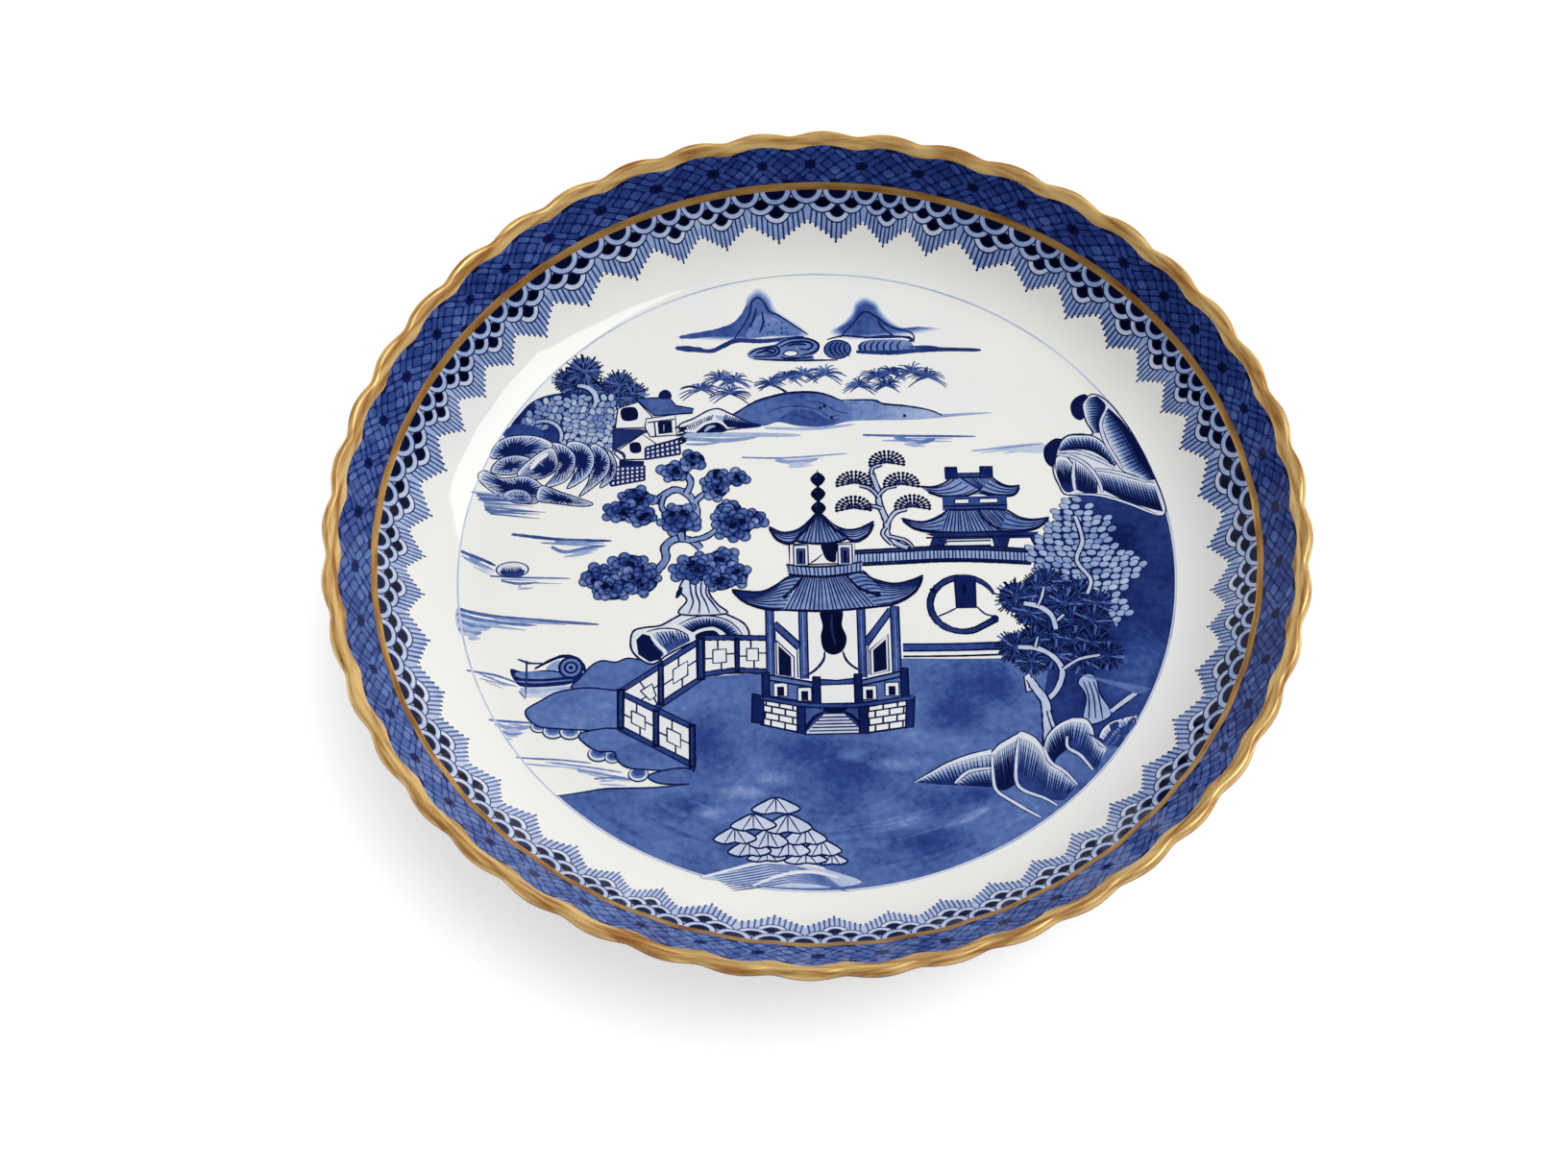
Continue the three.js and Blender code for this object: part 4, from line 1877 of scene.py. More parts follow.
@dataclass
class GrassSprays(Scenery):
    """Drooping grasses on the far shore."""

    name: str = "grass_sprays"
    blades: int = 22
    spread: Ends = (-35, 215)
    tufts: Rows = (
        (-16.4, 31.6, 3.4), (-13.6, 33.4, 2.8), (-11.4, 33, 2.8), (-12.2, 30.8, 3.2), (-6.2, 32.2, 3),
        (-3.6, 33.4, 2.8), (-1.2, 33.8, 3), (2, 33.8, 3.2), (7, 31.6, 2.8), (9.6, 33.2, 3),
        (11.8, 33.8, 2.8), (14.8, 33.8, 3.4), (17.2, 33, 3.2), (11, 31.6, 2.8),
    )

    def draw(self) -> None:
        """Draws each tuft as thin curved blades that fall at their tips."""
        for x, y, reach in self.tufts:
            for k in range(self.blades):
                turn = math.radians(mix(*self.spread, (k + self.hand.uniform(0.1, 0.9)) / self.blades))
                length = reach * self.hand.uniform(0.55, 1.05)
                bend = around((x, y), turn, length * 0.55, 0.95)
                tip = around((x, y - length * 0.22), turn, length, 0.8)
                self.stroke([(x, y), bend, tip], 0.22, self.hand.uniform(0.52, 0.86), ends=(1.0, 0.3))


@dataclass
class FarShore(Scenery):
    """The low hill across the water, with a pale rock at its left end."""

    name: str = "far_shore"
    hill: Numbers = (
        -12.2, 26.6, -9.5, 28.6, -7.5, 29.6, -4, 30.6, -1, 30.8, 1.6, 30.5, 3.6, 29.4, 4.8, 29, 9, 29.1,
        10.5, 28.4, 14, 27.9, 17, 27.2, 19.3, 26.4, 23, 26.5, 26.6, 26.4, 22, 26, 15, 25.5, 6, 25.5,
        2, 24.6, -2, 24.8, -5, 25.6, -7.7, 25,
    )
    rock: Numbers = (
        -19.7, 25.5, -17.5, 26.6, -15.6, 27.8, -14, 28.2, -12.4, 27.4, -9.5, 25.7, -7.7, 25, -10.5, 24.7,
        -13, 24.4, -16, 23.9, -19, 24.2,
    )
    folds: Rows = (
        (0.42, 0.88, -12, 26.8, -9.4, 28.7, -7.4, 29.7, -4, 30.6, -1, 30.8, 1.7, 30.4, 4.6, 29),
        (0.36, 0.84, 4.2, 29.2, 9, 29.1, 10.5, 28.4, 14, 27.9, 17.3, 27.1, 19.2, 26.1),
        (0.2, 0.78, -6.6, 27.4, -4.4, 28.2, -1.6, 28.3, 0.8, 27.6, 2.4, 26.4, 4, 26.6),
        (0.2, 0.78, -5, 26, -3, 26.9, -1, 26.2, 1, 25.6),
        (0.2, 0.78, -1, 29.2, 1.4, 28.8, 3.4, 27.4, 5.4, 26.8),
    )
    washes: Rows = (
        (0.8, 0.26, -20, 23.7, -10, 23.5, -1.8, 23.2), (0.7, 0.36, -19.4, 23.1, -13, 22.6, -8.4, 23),
        (0.4, 0.34, -18.8, 22.1, -16, 22, -13.4, 22.4), (0.5, 0.3, -7, 24.6, 0, 24.3, 6.2, 24.9),
    )

    def draw(self) -> None:
        """Washes the hill, hatches the rock and lets the water trail below."""
        self.patch(0.6, *self.hill)
        for k in range(12):
            self.fill(rectangle(2 + k * 1.3, 31, 28, 24 - 0.05 * k), 0.06, smooth=False, ink=Ink.WIPE)
        self.patch(0.25, -5, 25.8, -3, 27.6, 0, 27.4, 2, 26, 4, 26, 2, 24.9, -2, 25, ink=Ink.GLAZE)
        for fold in self.folds:
            self.line(*fold)
        for spot in ((1.2, 27.9), (2.8, 26.1), (1.8, 28.2), (13.6, 26.2)):
            self.disc(spot, 0.26, 0.94)
        self.patch(0.05, *self.rock)
        crest, foot = way(-19, 25.2, -17, 26.2, -14.6, 27.2), way(-18.6, 24.4, -16.6, 24.8, -15, 26)
        self.hatch(crest, foot, 14, 0.2, 0.76)
        self.patch(0.3, -14.4, 27, -11.5, 26.4, -8, 25.1, -11, 24.9, -13, 25.4)
        self.patch(0.92, -13, 26.2, -10.6, 25.8, -8, 25.1, -11, 24.8, -12.8, 25)
        self.hatch(way(-13, 27.2, -9.5, 25.8), way(-13.4, 25.8, -10.5, 25.2), 10, 0.22, 0.84)
        self.patch(0.93, -17.2, 24, -16, 25.5, -14.2, 25.9, -13, 25, -12.8, 24.2, -14.6, 23.9)
        self.line(0.5, 0.06, -17.4, 24.2, -16, 25.6, -14, 26, -12.7, 24.9)
        self.line(0.5, 0.3, -16, 24.2, -15.2, 25, -14.4, 25.1)
        self.outline(way(*self.rock), 0.3, 0.84)
        for wash in self.washes:
            self.line(*wash, ends=(0.6, 0.1))


@dataclass
class Water(Scenery):
    """Single strokes of still water, a stone, and a moored boat."""

    name: str = "water_and_boat"
    ripples: Rows = (
        (0.3, 0.42, -10.6, 19.55, -4, 19.3, 5, 19.85), (0.7, 0.34, -5.6, 19, -2.6, 18.45, 0.6, 19),
        (0.42, 0.56, 7.3, 23, 13, 22.7, 24, 22.3), (0.8, 0.5, 12, 22.5, 15.6, 21.5, 18, 22.1),
        (0.3, 0.38, 23.2, 19.8, 28, 20.2, 33.7, 20.8), (0.55, 0.66, -44.2, 7.2, -37, 6.1, -29.6, 5.7),
        (0.6, 0.5, -38.4, 4.9, -36.4, 4, -33, 4.6, -30.6, 4.9),
        (0.55, 0.66, -51.8, 4.5, -48.6, 3.1, -46.4, 1.9), (0.3, 0.44, -51.4, 3.6, -48, 2, -46.6, 1),
        (0.34, 0.54, -47.2, 0.2, -42, -0.2, -35.6, -0.5), (0.4, 0.5, -45.6, -0.6, -43, -1.2, -40.2, -1),
        (0.6, 0.58, -51.8, -5.3, -45, -6.8, -31.4, -8.3), (0.6, 0.5, -51.8, -6.2, -47, -7.4, -41, -8.2),
        (0.6, 0.46, -51.7, -7.2, -49, -8.2, -46.8, -8.4), (0.8, 0.44, -51.4, -8.6, -50, -9.4, -48.2, -9.2),
        (0.34, 0.54, -50.2, -15.6, -46.4, -16.2, -43, -17.6),
        (0.22, 0.46, -49, -15.7, -45.4, -17.4, -43, -18.2),
        (0.9, 0.26, -42.6, -18.8, -39, -19.1, -35, -18.6),
        (0.4, 0.54, -46.9, -23.7, -43.6, -23.9, -40.4, -24.2),
        (0.7, 0.38, -46, -24.3, -43.6, -25, -40.8, -24.7),
        (0.4, 0.44, -45.2, -25.5, -43.8, -26, -42.2, -25.8),
        (0.3, 0.52, -43, -29.8, -37.5, -30.1, -32.4, -30.8),
        (0.3, 0.44, -38, -30.6, -33, -31.4, -28, -32.4),
        (0.36, 0.4, -34.4, -31.8, -30, -32.8, -26.6, -33.5),
        (0.3, 0.44, -32, -33.3, -29, -33.2, -26.8, -33.7),
    )
    hull: Numbers = (
        -44, -15.3, -42, -15.8, -38, -15.6, -35.6, -16.5, -33.4, -16.2, -34.6, -17.6, -37, -18.2,
        -42, -18.3, -43.5, -17.1,
    )
    canopy: Numbers = (-40.6, -15.4, -38.6, -14.2, -36.6, -13.4, -34.8, -13.7, -33.6, -15, -33.4, -16.3)
    stone: Point = (-44, 1.2)

    def draw(self) -> None:
        """Draws the ripples, the stone and the boat."""
        self.patch(0.14, 26, 20.3, 33.6, 20.9, 33.6, 19.2, 29, 19.6)
        self.patch(0.2, -51.9, -5.6, -49, -6.8, -47, -7.8, -49.4, -9.6, -51.4, -9.4)
        self.patch(0.16, -42, -18.4, -35, -18.2, -36, -19.4, -41.6, -20)
        for width, tone, *spots in self.ripples:
            self.ripple(way(*spots), width, tone)
        self.disc(self.stone, 2.45, 0.78, squash=0.56)
        self.disc(self.stone, 2.2, 0.08, squash=0.54)
        self.patch(0.72, -45.8, 1, -44, 0.9, -42.2, 1.1, -42.6, 0.2, -44, -0.1, -45.4, 0.3)
        self.hatch(way(-45.8, 0.6, -42.4, 0.6), way(-45.4, 1.7, -42.8, 1.8), 13, 0.2, 0.8, ends=(1.0, 0.1))
        self.patch(0.86, *self.hull)
        self.patch(0.46, -43.2, -15.9, -38, -15.9, -36.4, -16.7, -39, -17, -42.6, -16.8)
        self.line(0.28, 0.5, -43.4, -17.3, -40, -17.6, -35.2, -17.3)
        self.line(0.55, 0.9, *self.canopy)
        self.patch(0.3, -39, -15.4, -38, -14.4, -37, -14, -37.2, -15.6)
        for radius, tone in ((1.85, 0.88), (1.45, 0.5), (1.05, 0.88), (0.7, 0.46), (0.35, 0.9)):
            self.disc((-35.4, -15.3), radius, tone)
        self.line(0.3, 0.8, -41.7, -14, -41.8, -20.3, ends=(1.0, 0.3))
        self.line(0.36, 0.8, -43, -13.7, -41.4, -14.4, -39.4, -14.5)
        self.line(0.24, 0.66, -42.8, -18.9, -41.8, -20.2)


@dataclass
class IslandVillage(Scenery):
    """The rocky island at the left: two white houses among trees, above layered rocks."""

    name: str = "island_village"
    edge: float = 51.2
    trees: Rows = (
        (-36.2, 33.6, 2.4, 1), (-34.2, 32.8, 3.2, 0.9), (-33.8, 35.4, 2.9, 1), (-30.4, 31.6, 2.4, 1),
        (-28.6, 32.8, 2.7, 1), (-26.6, 31.2, 2.4, 0.9), (-29, 30.4, 2.4, 0.8),
    )
    bush: Numbers = (
        -44.6, 25, -43, 28.3, -41, 30.4, -38, 31.5, -34, 31.6, -30.4, 30.6, -29.3, 27, -29.4, 22, -33, 21.6,
        -36, 22, -40, 23,
    )
    swirls: tuple[Point, ...] = (
        (-41.8, 26.8), (-40.6, 29), (-32, 29.4), (-31.2, 26), (-34.6, 24), (-31.4, 23.2), (-33.8, 27),
        (-36.4, 28.6),
    )
    rocks: tuple[tuple[Numbers, Point], ...] = (
        ((-30.2, 21.2, -29, 19, -29.4, 16.4, -31.4, 14.8, -30.5, 17.4), (-29.7, 17.8)),
        ((-32.8, 22.2, -31, 21.7, -29.9, 19.4, -30.7, 16.6, -34.4, 13.4, -33, 16.4), (-31.5, 18.6)),
        ((-36.4, 22.3, -34.8, 23, -33, 21.9, -32.2, 19.6, -33.2, 16.8, -36.2, 14.8, -35.2, 17.6),
         (-34.2, 19.6)),
        ((-39.2, 22.4, -37, 22.6, -35.1, 20.6, -35.2, 18.2, -36.6, 16, -39.4, 15.2, -37.8, 18),
         (-36.4, 19.4)),
        ((-47.5, 20.4, -46.6, 22.8, -44.5, 24.1, -41, 24.1, -38.4, 22.6, -39.8, 20.6, -43, 20, -45.6, 20.2),
         (-44.6, 21.2)),
        ((-47.4, 18, -46.2, 20.1, -43.6, 20.8, -41.2, 19.8, -42.4, 18, -45, 17.4), (-44.8, 18.9)),
        ((-43.6, 17.6, -41.4, 20.3, -38.6, 22, -37.6, 20, -37.9, 18, -40, 16.6, -42, 16.8), (-38.7, 18)),
        ((-49.2, 16.6, -48.4, 18.1, -45.6, 16.9, -42, 17.1, -39.6, 14.9, -40.4, 12.6, -43, 12.5, -46.4, 14),
         (-43, 14.6)),
        ((-45.6, 14, -44, 14.9, -42, 14.4, -41.4, 12.6, -44, 12.6), (-42.8, 13.2)),
        ((-40, 15.4, -37, 14.2, -34.6, 13.2, -32.4, 12.1, -34, 11.7, -38, 12.3, -40.6, 13), (-37, 12.9)),
    )

    def draw(self) -> None:
        """Paints from the back to the front."""
        for x, y, reach, squash in self.trees:
            self.spikes((x, y), reach, squash, 0.64)
        self.leaves()
        self.houses()
        for outline, focus in self.rocks:
            self.crag(outline, focus)
        self.line(0.8, 0.08, -41.6, 18.2, -40.6, 19.8, -39, 21, ends=(0.2, 0.2))
        for k in range(13):
            start = (-50.2 + 0.9 * self.hand.random() + 0.2 * k, 14.4 - 0.3 * k)
            end = (start[0] + self.hand.uniform(4, 9), start[1] - self.hand.uniform(0.4, 1.2))
            self.stroke([start, end], 0.28, self.hand.uniform(0.34, 0.6), ends=(0.9, 0.2))

    def leaves(self) -> None:
        """Draws the leaves behind the houses in whorls, and the broad curled ones below them."""
        self.patch(0.82, *self.bush)
        for centre in self.swirls:
            for radius in (2.5, 1.65, 0.8):
                count = round(radius * 5)
                for k in range(count):
                    turn = FULL_TURN * k / count + self.hand.uniform(-0.1, 0.1)
                    spot = around(centre, turn, radius)
                    if math.hypot(*spot) < self.edge - 0.7 and spot[1] < 31:
                        self.leaf(spot, math.degrees(turn) + 60, self.hand.uniform(0.2, 0.46), 0.64)
        self.stroke(arc((-34.6, 30.2), 2.6, 95, -30), 0.7, 0.2)
        self.stroke(arc((-34.6, 30.2), 2.1, 95, -30), 0.3, 0.9)
        self.patch(0.72, -45.6, 24, -44.6, 25.8, -42.8, 26.2, -41, 25.8, -39.8, 24.8, -40.4, 23.6)
        self.branch(arc((-39.8, 24), 2.7, 115, -20), 0.5, 0.3)

    def houses(self) -> None:
        """Draws both houses and their plaited fences."""
        self.slab(0.84, -29.6, 25, -25.5, 24.9, -23.6, 24.5, -25.2, 24, -29.6, 21)
        self.panel(0.04, -29.2, 25.1, -28.8, 28.6, -25.8, 29.7, -23.7, 27, -24.8, 25.1)
        self.patch(0.95, -28.3, 28.5, -26.2, 28.7, -25.9, 26.7, -28, 26.5)
        self.panel(0.66, -26.2, 30.3, -21.2, 30.4, -20.2, 28.9, -17.6, 28.3, -17.8, 27.5, -23.4, 27.2)
        self.patch(0.9, -22.6, 31.3, -21.8, 31.8, -21, 31.3, -20.9, 30.2, -22.7, 30.2)
        self.panel(0.05, -24.8, 25.1, -24.6, 26.7, -20.3, 27.3, -20.1, 23.7, -24, 23.5)
        self.bar(0.26, 0.84, -24.4, 26, -20.4, 26.5)
        self.bar(0.26, 0.84, -23.4, 26, -23.2, 23.6)
        self.panel(0.94, -22.8, 26, -20.9, 26.2, -20.8, 24.2, -22.7, 24)
        self.line(0.2, 0.3, -22, 25.6, -22, 24.4)
        self.panel(0.04, -29.4, 20.8, -25.2, 24, -23.2, 22.3, -24.4, 21.2, -24.8, 19.6, -28.4, 19.6)
        self.patch(0.95, -27, 22.4, -25.6, 22.5, -25.4, 20.9, -26.8, 20.8)
        self.line(0.5, 0.86, -29.6, 21.6, -28, 20.6, -27.8, 19.6)
        self.slab(0.9, -28.6, 19.5, -24.9, 19.3, -25, 18.5, -28.6, 18.5)
        self.lattice((-24.7, 21.6, -19.8, 23, -19.6, 20.4, -24.7, 19.6), 7, 3)
        self.lattice((-29.8, 18.3, -24.9, 18.5, -24.9, 16, -29.8, 15.1), 7, 4)
        for _ in range(16):
            x, y = self.hand.uniform(-20.2, -18.8), self.hand.uniform(21.6, 25)
            self.line(0.4, 0.92, x - 0.4, y, x + 0.4, y + 0.5)


@dataclass
class TwistedTree(Scenery):
    """The old tree at the left with round-leaved clusters, on its hollow rock."""

    name: str = "twisted_tree"
    clusters: Rows = (
        (-20.4, 17.3, 2.7, 2.2), (-17.7, 19.2, 2.3, 2), (-14.5, 14.5, 2.7, 2.7), (-14.2, 16.4, 2.2, 1.7),
        (-11.4, 16, 2.3, 1.7), (-26.2, 12.7, 3.2, 2.6), (-28.2, 10.7, 3.2, 2.3), (-25, 9.8, 2.3, 2),
        (-19.8, 9.2, 3.5, 3.2), (-12.6, 10.6, 2.6, 1.9), (-8.8, 8.8, 2.2, 2), (-11.8, 8.2, 3.7, 3.6),
        (-31.2, -0.6, 3.5, 2.8), (-27.2, 1.8, 3.2, 2), (-25.4, -1, 3.4, 3.2), (-29.4, -2.4, 3.6, 2.5),
        (-13.6, 2.4, 2.6, 2), (-11.8, -0.4, 2.6, 2.6), (-17.4, 0.7, 4.2, 2.9), (-14, -1.6, 2.8, 2),
    )
    branches: Rows = (
        (0.9, -23.2, 0.2, -21.8, 2.4, -21.9, 4.4, -20.3, 5.8, -18, 5.4, -16.7, 4),
        (0.8, -23.4, 12.1, -21.8, 13.5, -20.3, 14.2, -18.6, 13.4, -17.5, 11.6, -17.2, 9.4),
        (0.5, -22, 13.2, -22.4, 11.4, -21.4, 9.6), (0.7, -18.8, 13.4, -18.1, 15.4, -19, 17.2),
        (0.6, -17.4, 12.2, -16, 13.6), (0.6, -18.6, 5.4, -16, 6, -14, 7.6), (0.9, -19.8, 8, -19.4, 5.4),
    )
    trunk: Numbers = (
        -19.8, -6.9, -18.8, -4.6, -19.9, -2.8, -18.6, -0.6, -15.7, -0.8, -15.6, -3.4, -14.4, -5.4,
        -13.2, -7,
    )
    rock: Numbers = (
        -26.6, -9.7, -25, -9, -22.6, -8.7, -20.4, -7.4, -18.6, -6.6, -15, -6.4, -12.2, -7.6, -10.4, -9,
        -10.1, -11, -13, -11.4, -16.6, -11.4, -18, -11.6, -21.4, -13.4, -23.6, -15, -25.4, -14.3,
        -26.8, -12.4,
    )
    hollow: Numbers = (
        -26.1, -11, -25.2, -10, -24.1, -10.4, -23.5, -12, -22.4, -13.2, -22.6, -14.3, -24.2, -14.7,
        -25.8, -13.4,
    )
    flanks: Flanks = (
        ((-24.6, -9.7, -22.6, -9.2, -20.4, -9.4, -18.6, -10.4),
         (-22.6, -14, -21.2, -13, -18.4, -11.4), 0.7, 13),
        ((-20, -8.6, -18, -7.6, -15.6, -7.3, -13, -8.1, -11.3, -9.8, -10.9, -11),
         (-18, -10, -16.8, -9.4, -15, -9.2, -13.6, -10, -12.8, -11.2), 0.94, 20),
    )

    def draw(self) -> None:
        """Paints the rock, the trunk and then the leaves."""
        self.stone()
        self.patch(0.11, *self.trunk)
        for k in (0.0, 0.9, 1.8, 2.7):
            grain = (-18.4 + k, -1, -18.2 + k * 0.8, -3.4, -17.9 + k, -5, -18.6 + k * 1.7, -6.9)
            self.line(0.3, 0.82, *grain)
        self.outline(way(*self.trunk), 0.3, 0.88)
        self.line(0.8, 0.9, -20.3, -4.2, -19.5, -2.4)
        for width, *spots in self.branches:
            self.branch(way(*spots), width, 0.4)
        for x, y, wide, tall in self.clusters:
            self.rounded_leaves((x, y), wide, tall)

    def stone(self) -> None:
        """Draws the hollow rock that the tree stands on."""
        self.patch(0.08, *self.rock)
        self.slope(*self.flanks[0])
        self.slab(0.94, *self.hollow)
        self.slope(*self.flanks[1])
        self.patch(0.94, -17.6, -10.4, -16.4, -9.8, -14.8, -9.8, -13.6, -11.2, -17.2, -11.2)
        self.line(0.45, 0.08, -17.8, -10.2, -16.4, -9.5, -14.8, -9.5, -13.4, -11.1)
        self.bar(0.5, 0.08, -24.2, -9.8, -23.2, -11.6, -22, -13, -22, -13.8)
        crest, foot = way(-23.4, -9.8, -20, -9.6, -18.6, -10.4), way(-21.8, -12.6, -20, -12, -18.2, -11.2)
        self.hatch(crest, foot, 9, 0.2, 0.84)
        self.outline(way(*self.rock), 0.32, 0.88)


@dataclass
class NearShore(Scenery):
    """The broad wash of ground in the foreground, in lobes that run out into the water."""

    name: str = "near_shore"
    edge: float = 51.6
    ground: float = 0.56
    back_edge: Numbers = (-17.3, -17.4, -8, -16.8, 2, -18, 12, -15, 20, -15.3, 29, -15.4, 36, -18)
    left_edge: Numbers = (
        -33, -35.4, -30, -34.9, -24, -34.9, -18.6, -34.5, -17.6, -31.8, -17.8, -25.4, -23, -22.2,
    )
    lobes: Rows = (
        (0.57, -35, -18.9, -34.2, -17.2, -32.6, -15.2, -31, -14.3, -29, -14.6, -27.2, -14, -24, -14.6,
         -20, -15, -17, -19, -22, -22, -28, -21),
        (0.52, -41.8, -22.3, -39.6, -20.6, -37, -19.2, -33, -18.7, -28.5, -19.3, -24, -20, -22, -24,
         -28.5, -26, -33.4, -25.5, -37, -25.2, -40.2, -24.6),
        (0.53, -34.2, -26.2, -32, -25.5, -28.5, -25.4, -20, -27, -17.4, -31.5, -19.4, -32.3, -24, -32.1,
         -27.4, -31.6, -28.9, -30.2, -29.2, -29.1, -31.6, -28.9, -33.6, -27.4),
        (0.6, -24.4, -33, -21, -32, -18.2, -32.2, -17.6, -34.3, -22.6, -34.3),
    )
    pebbles: Rows = (
        (-39.8, -24.8, 1.3), (-37.8, -25.6, 1.6), (-35.4, -25.8, 1.6), (-31.4, -29.4, 1.6),
        (-29.4, -30, 1.2), (-25.8, -32.8, 1.5),
    )
    dark_pools: Rows = (
        (21, -20, 8, 0.6), (18, -25, 6, 0.5), (3, -34, 10, 0.6), (16, -38, 7, 0.5), (-15, -28, 6, 1.2),
        (-4, -29, 7, 0.4), (14, -44, 7, 0.35), (26, -20, 4, 1.2), (-13, -43, 4, 0.6), (22, -37, 4, 0.5),
        (-20, -38, 6, 0.4),
    )
    thin_pools: Rows = (
        (-16, -39, 2.6, 0.5), (-6.6, -34, 3.4, 0.4), (-11, -36, 4, 0.3), (4.5, -30.5, 2.4, 0.6),
        (11, -32, 5, 0.25),
    )

    def draw(self) -> None:
        """Lays the wash, its pools and its streaks."""
        for x, y, radius in self.pebbles:
            for share, tone in ((1.0, 0.86), (0.88, 0.12), (0.7, 0.5), (0.5, 0.66)):
                self.disc((x, y + radius * (1 - share) * 0.5), radius * share, tone, squash=0.8)
        for tone, *spots in self.lobes:
            self.patch(tone, *spots)
            self.outline(way(*spots), 0.28, 0.88)
        main = way(*self.back_edge) + arc((0, 0), self.edge, -24, -135.7, 60) + way(*self.left_edge)
        self.fill(main, self.ground, smooth=False)
        self.pools()
        self.line(0.3, 0.86, -37.2, -36, -33, -35.3, -30, -34.9, -24, -34.9, -18.6, -34.5)

    def pools(self) -> None:
        """Lets the wash pool darker in places and run thin in others."""
        for x, y, radius, squash in self.dark_pools:
            for k in range(5):
                self.disc((x, y), radius * (1 - k * 0.17), 0.075, squash=squash, ink=Ink.GLAZE)
        for x, y, radius, squash in self.thin_pools:
            for k in range(4):
                self.disc((x, y), radius * (1 - k * 0.22), 0.08, squash=squash, ink=Ink.WIPE)
        for k in range(34):
            start = self.hand.uniform(-132, -50)
            line = arc((0, 0), self.hand.uniform(40, 50.9), start, start + self.hand.uniform(5, 16), 6)
            if all(y < -36 for _, y in line):
                ink = Ink.GLAZE if k % 2 else Ink.WIPE
                width = self.hand.uniform(0.4, 1.2)
                self.stroke(line, width, 0.1, ends=(0.1, 0.1), smooth=False, ink=ink)


@dataclass
class KeyFence(Scenery):
    """The zigzag fence with square keys in its panels."""

    name: str = "key_fence"
    panels: Rows = (
        (-11.6, -11.3, -7.4, -11.4, -7.4, -16.4, -11.6, -16.3),
        (-16.6, -11.2, -11.8, -11.3, -11.8, -16.4, -16.6, -17),
        (-22.4, -15.4, -17.2, -11.8, -17.2, -17.6, -22.4, -21.2),
        (-28.2, -19.4, -22.6, -15.6, -22.6, -21.6, -23.4, -22.2),
        (-28.2, -20.2, -23.4, -22.9, -23.4, -28.1, -28.2, -25.1),
        (-23.2, -23, -18.4, -25.7, -18.4, -31.2, -23.2, -28.3),
    )
    rails: Rows = (
        (-17, -10.9, -12, -11, -7.4, -11.2), (-17, -17, -12, -16.4, -7.4, -16.7),
        (-17, -11.4, -28.4, -19.4), (-17, -17.6, -23.6, -22.4), (-28.4, -19.6, -18, -25.5),
        (-28.4, -25.3, -18, -31.6),
    )
    posts: Rows = (
        (-16.9, -10.7, -17.9, 1.3), (-11.7, -11, -16.8, 0.8), (-22.6, -14.9, -21.8, 0.9),
        (-28.3, -18.9, -25.6, 1.1), (-23.3, -22.4, -28.5, 1), (-18.2, -24.9, -32, 1.1),
    )

    def draw(self) -> None:
        """Draws panels, rails and posts."""
        for outline in self.panels:
            self.key_panel(outline)
        for rail in self.rails:
            self.bar(1.0, 0.94, *rail)
            self.bar(0.54, 0.74, *rail)
        for x, top, bottom, width in self.posts:
            self.bar(width, 0.95, x, top, x, bottom)
            self.bar(width * 0.35, 0.78, x, top - 0.5, x, bottom + 0.5)


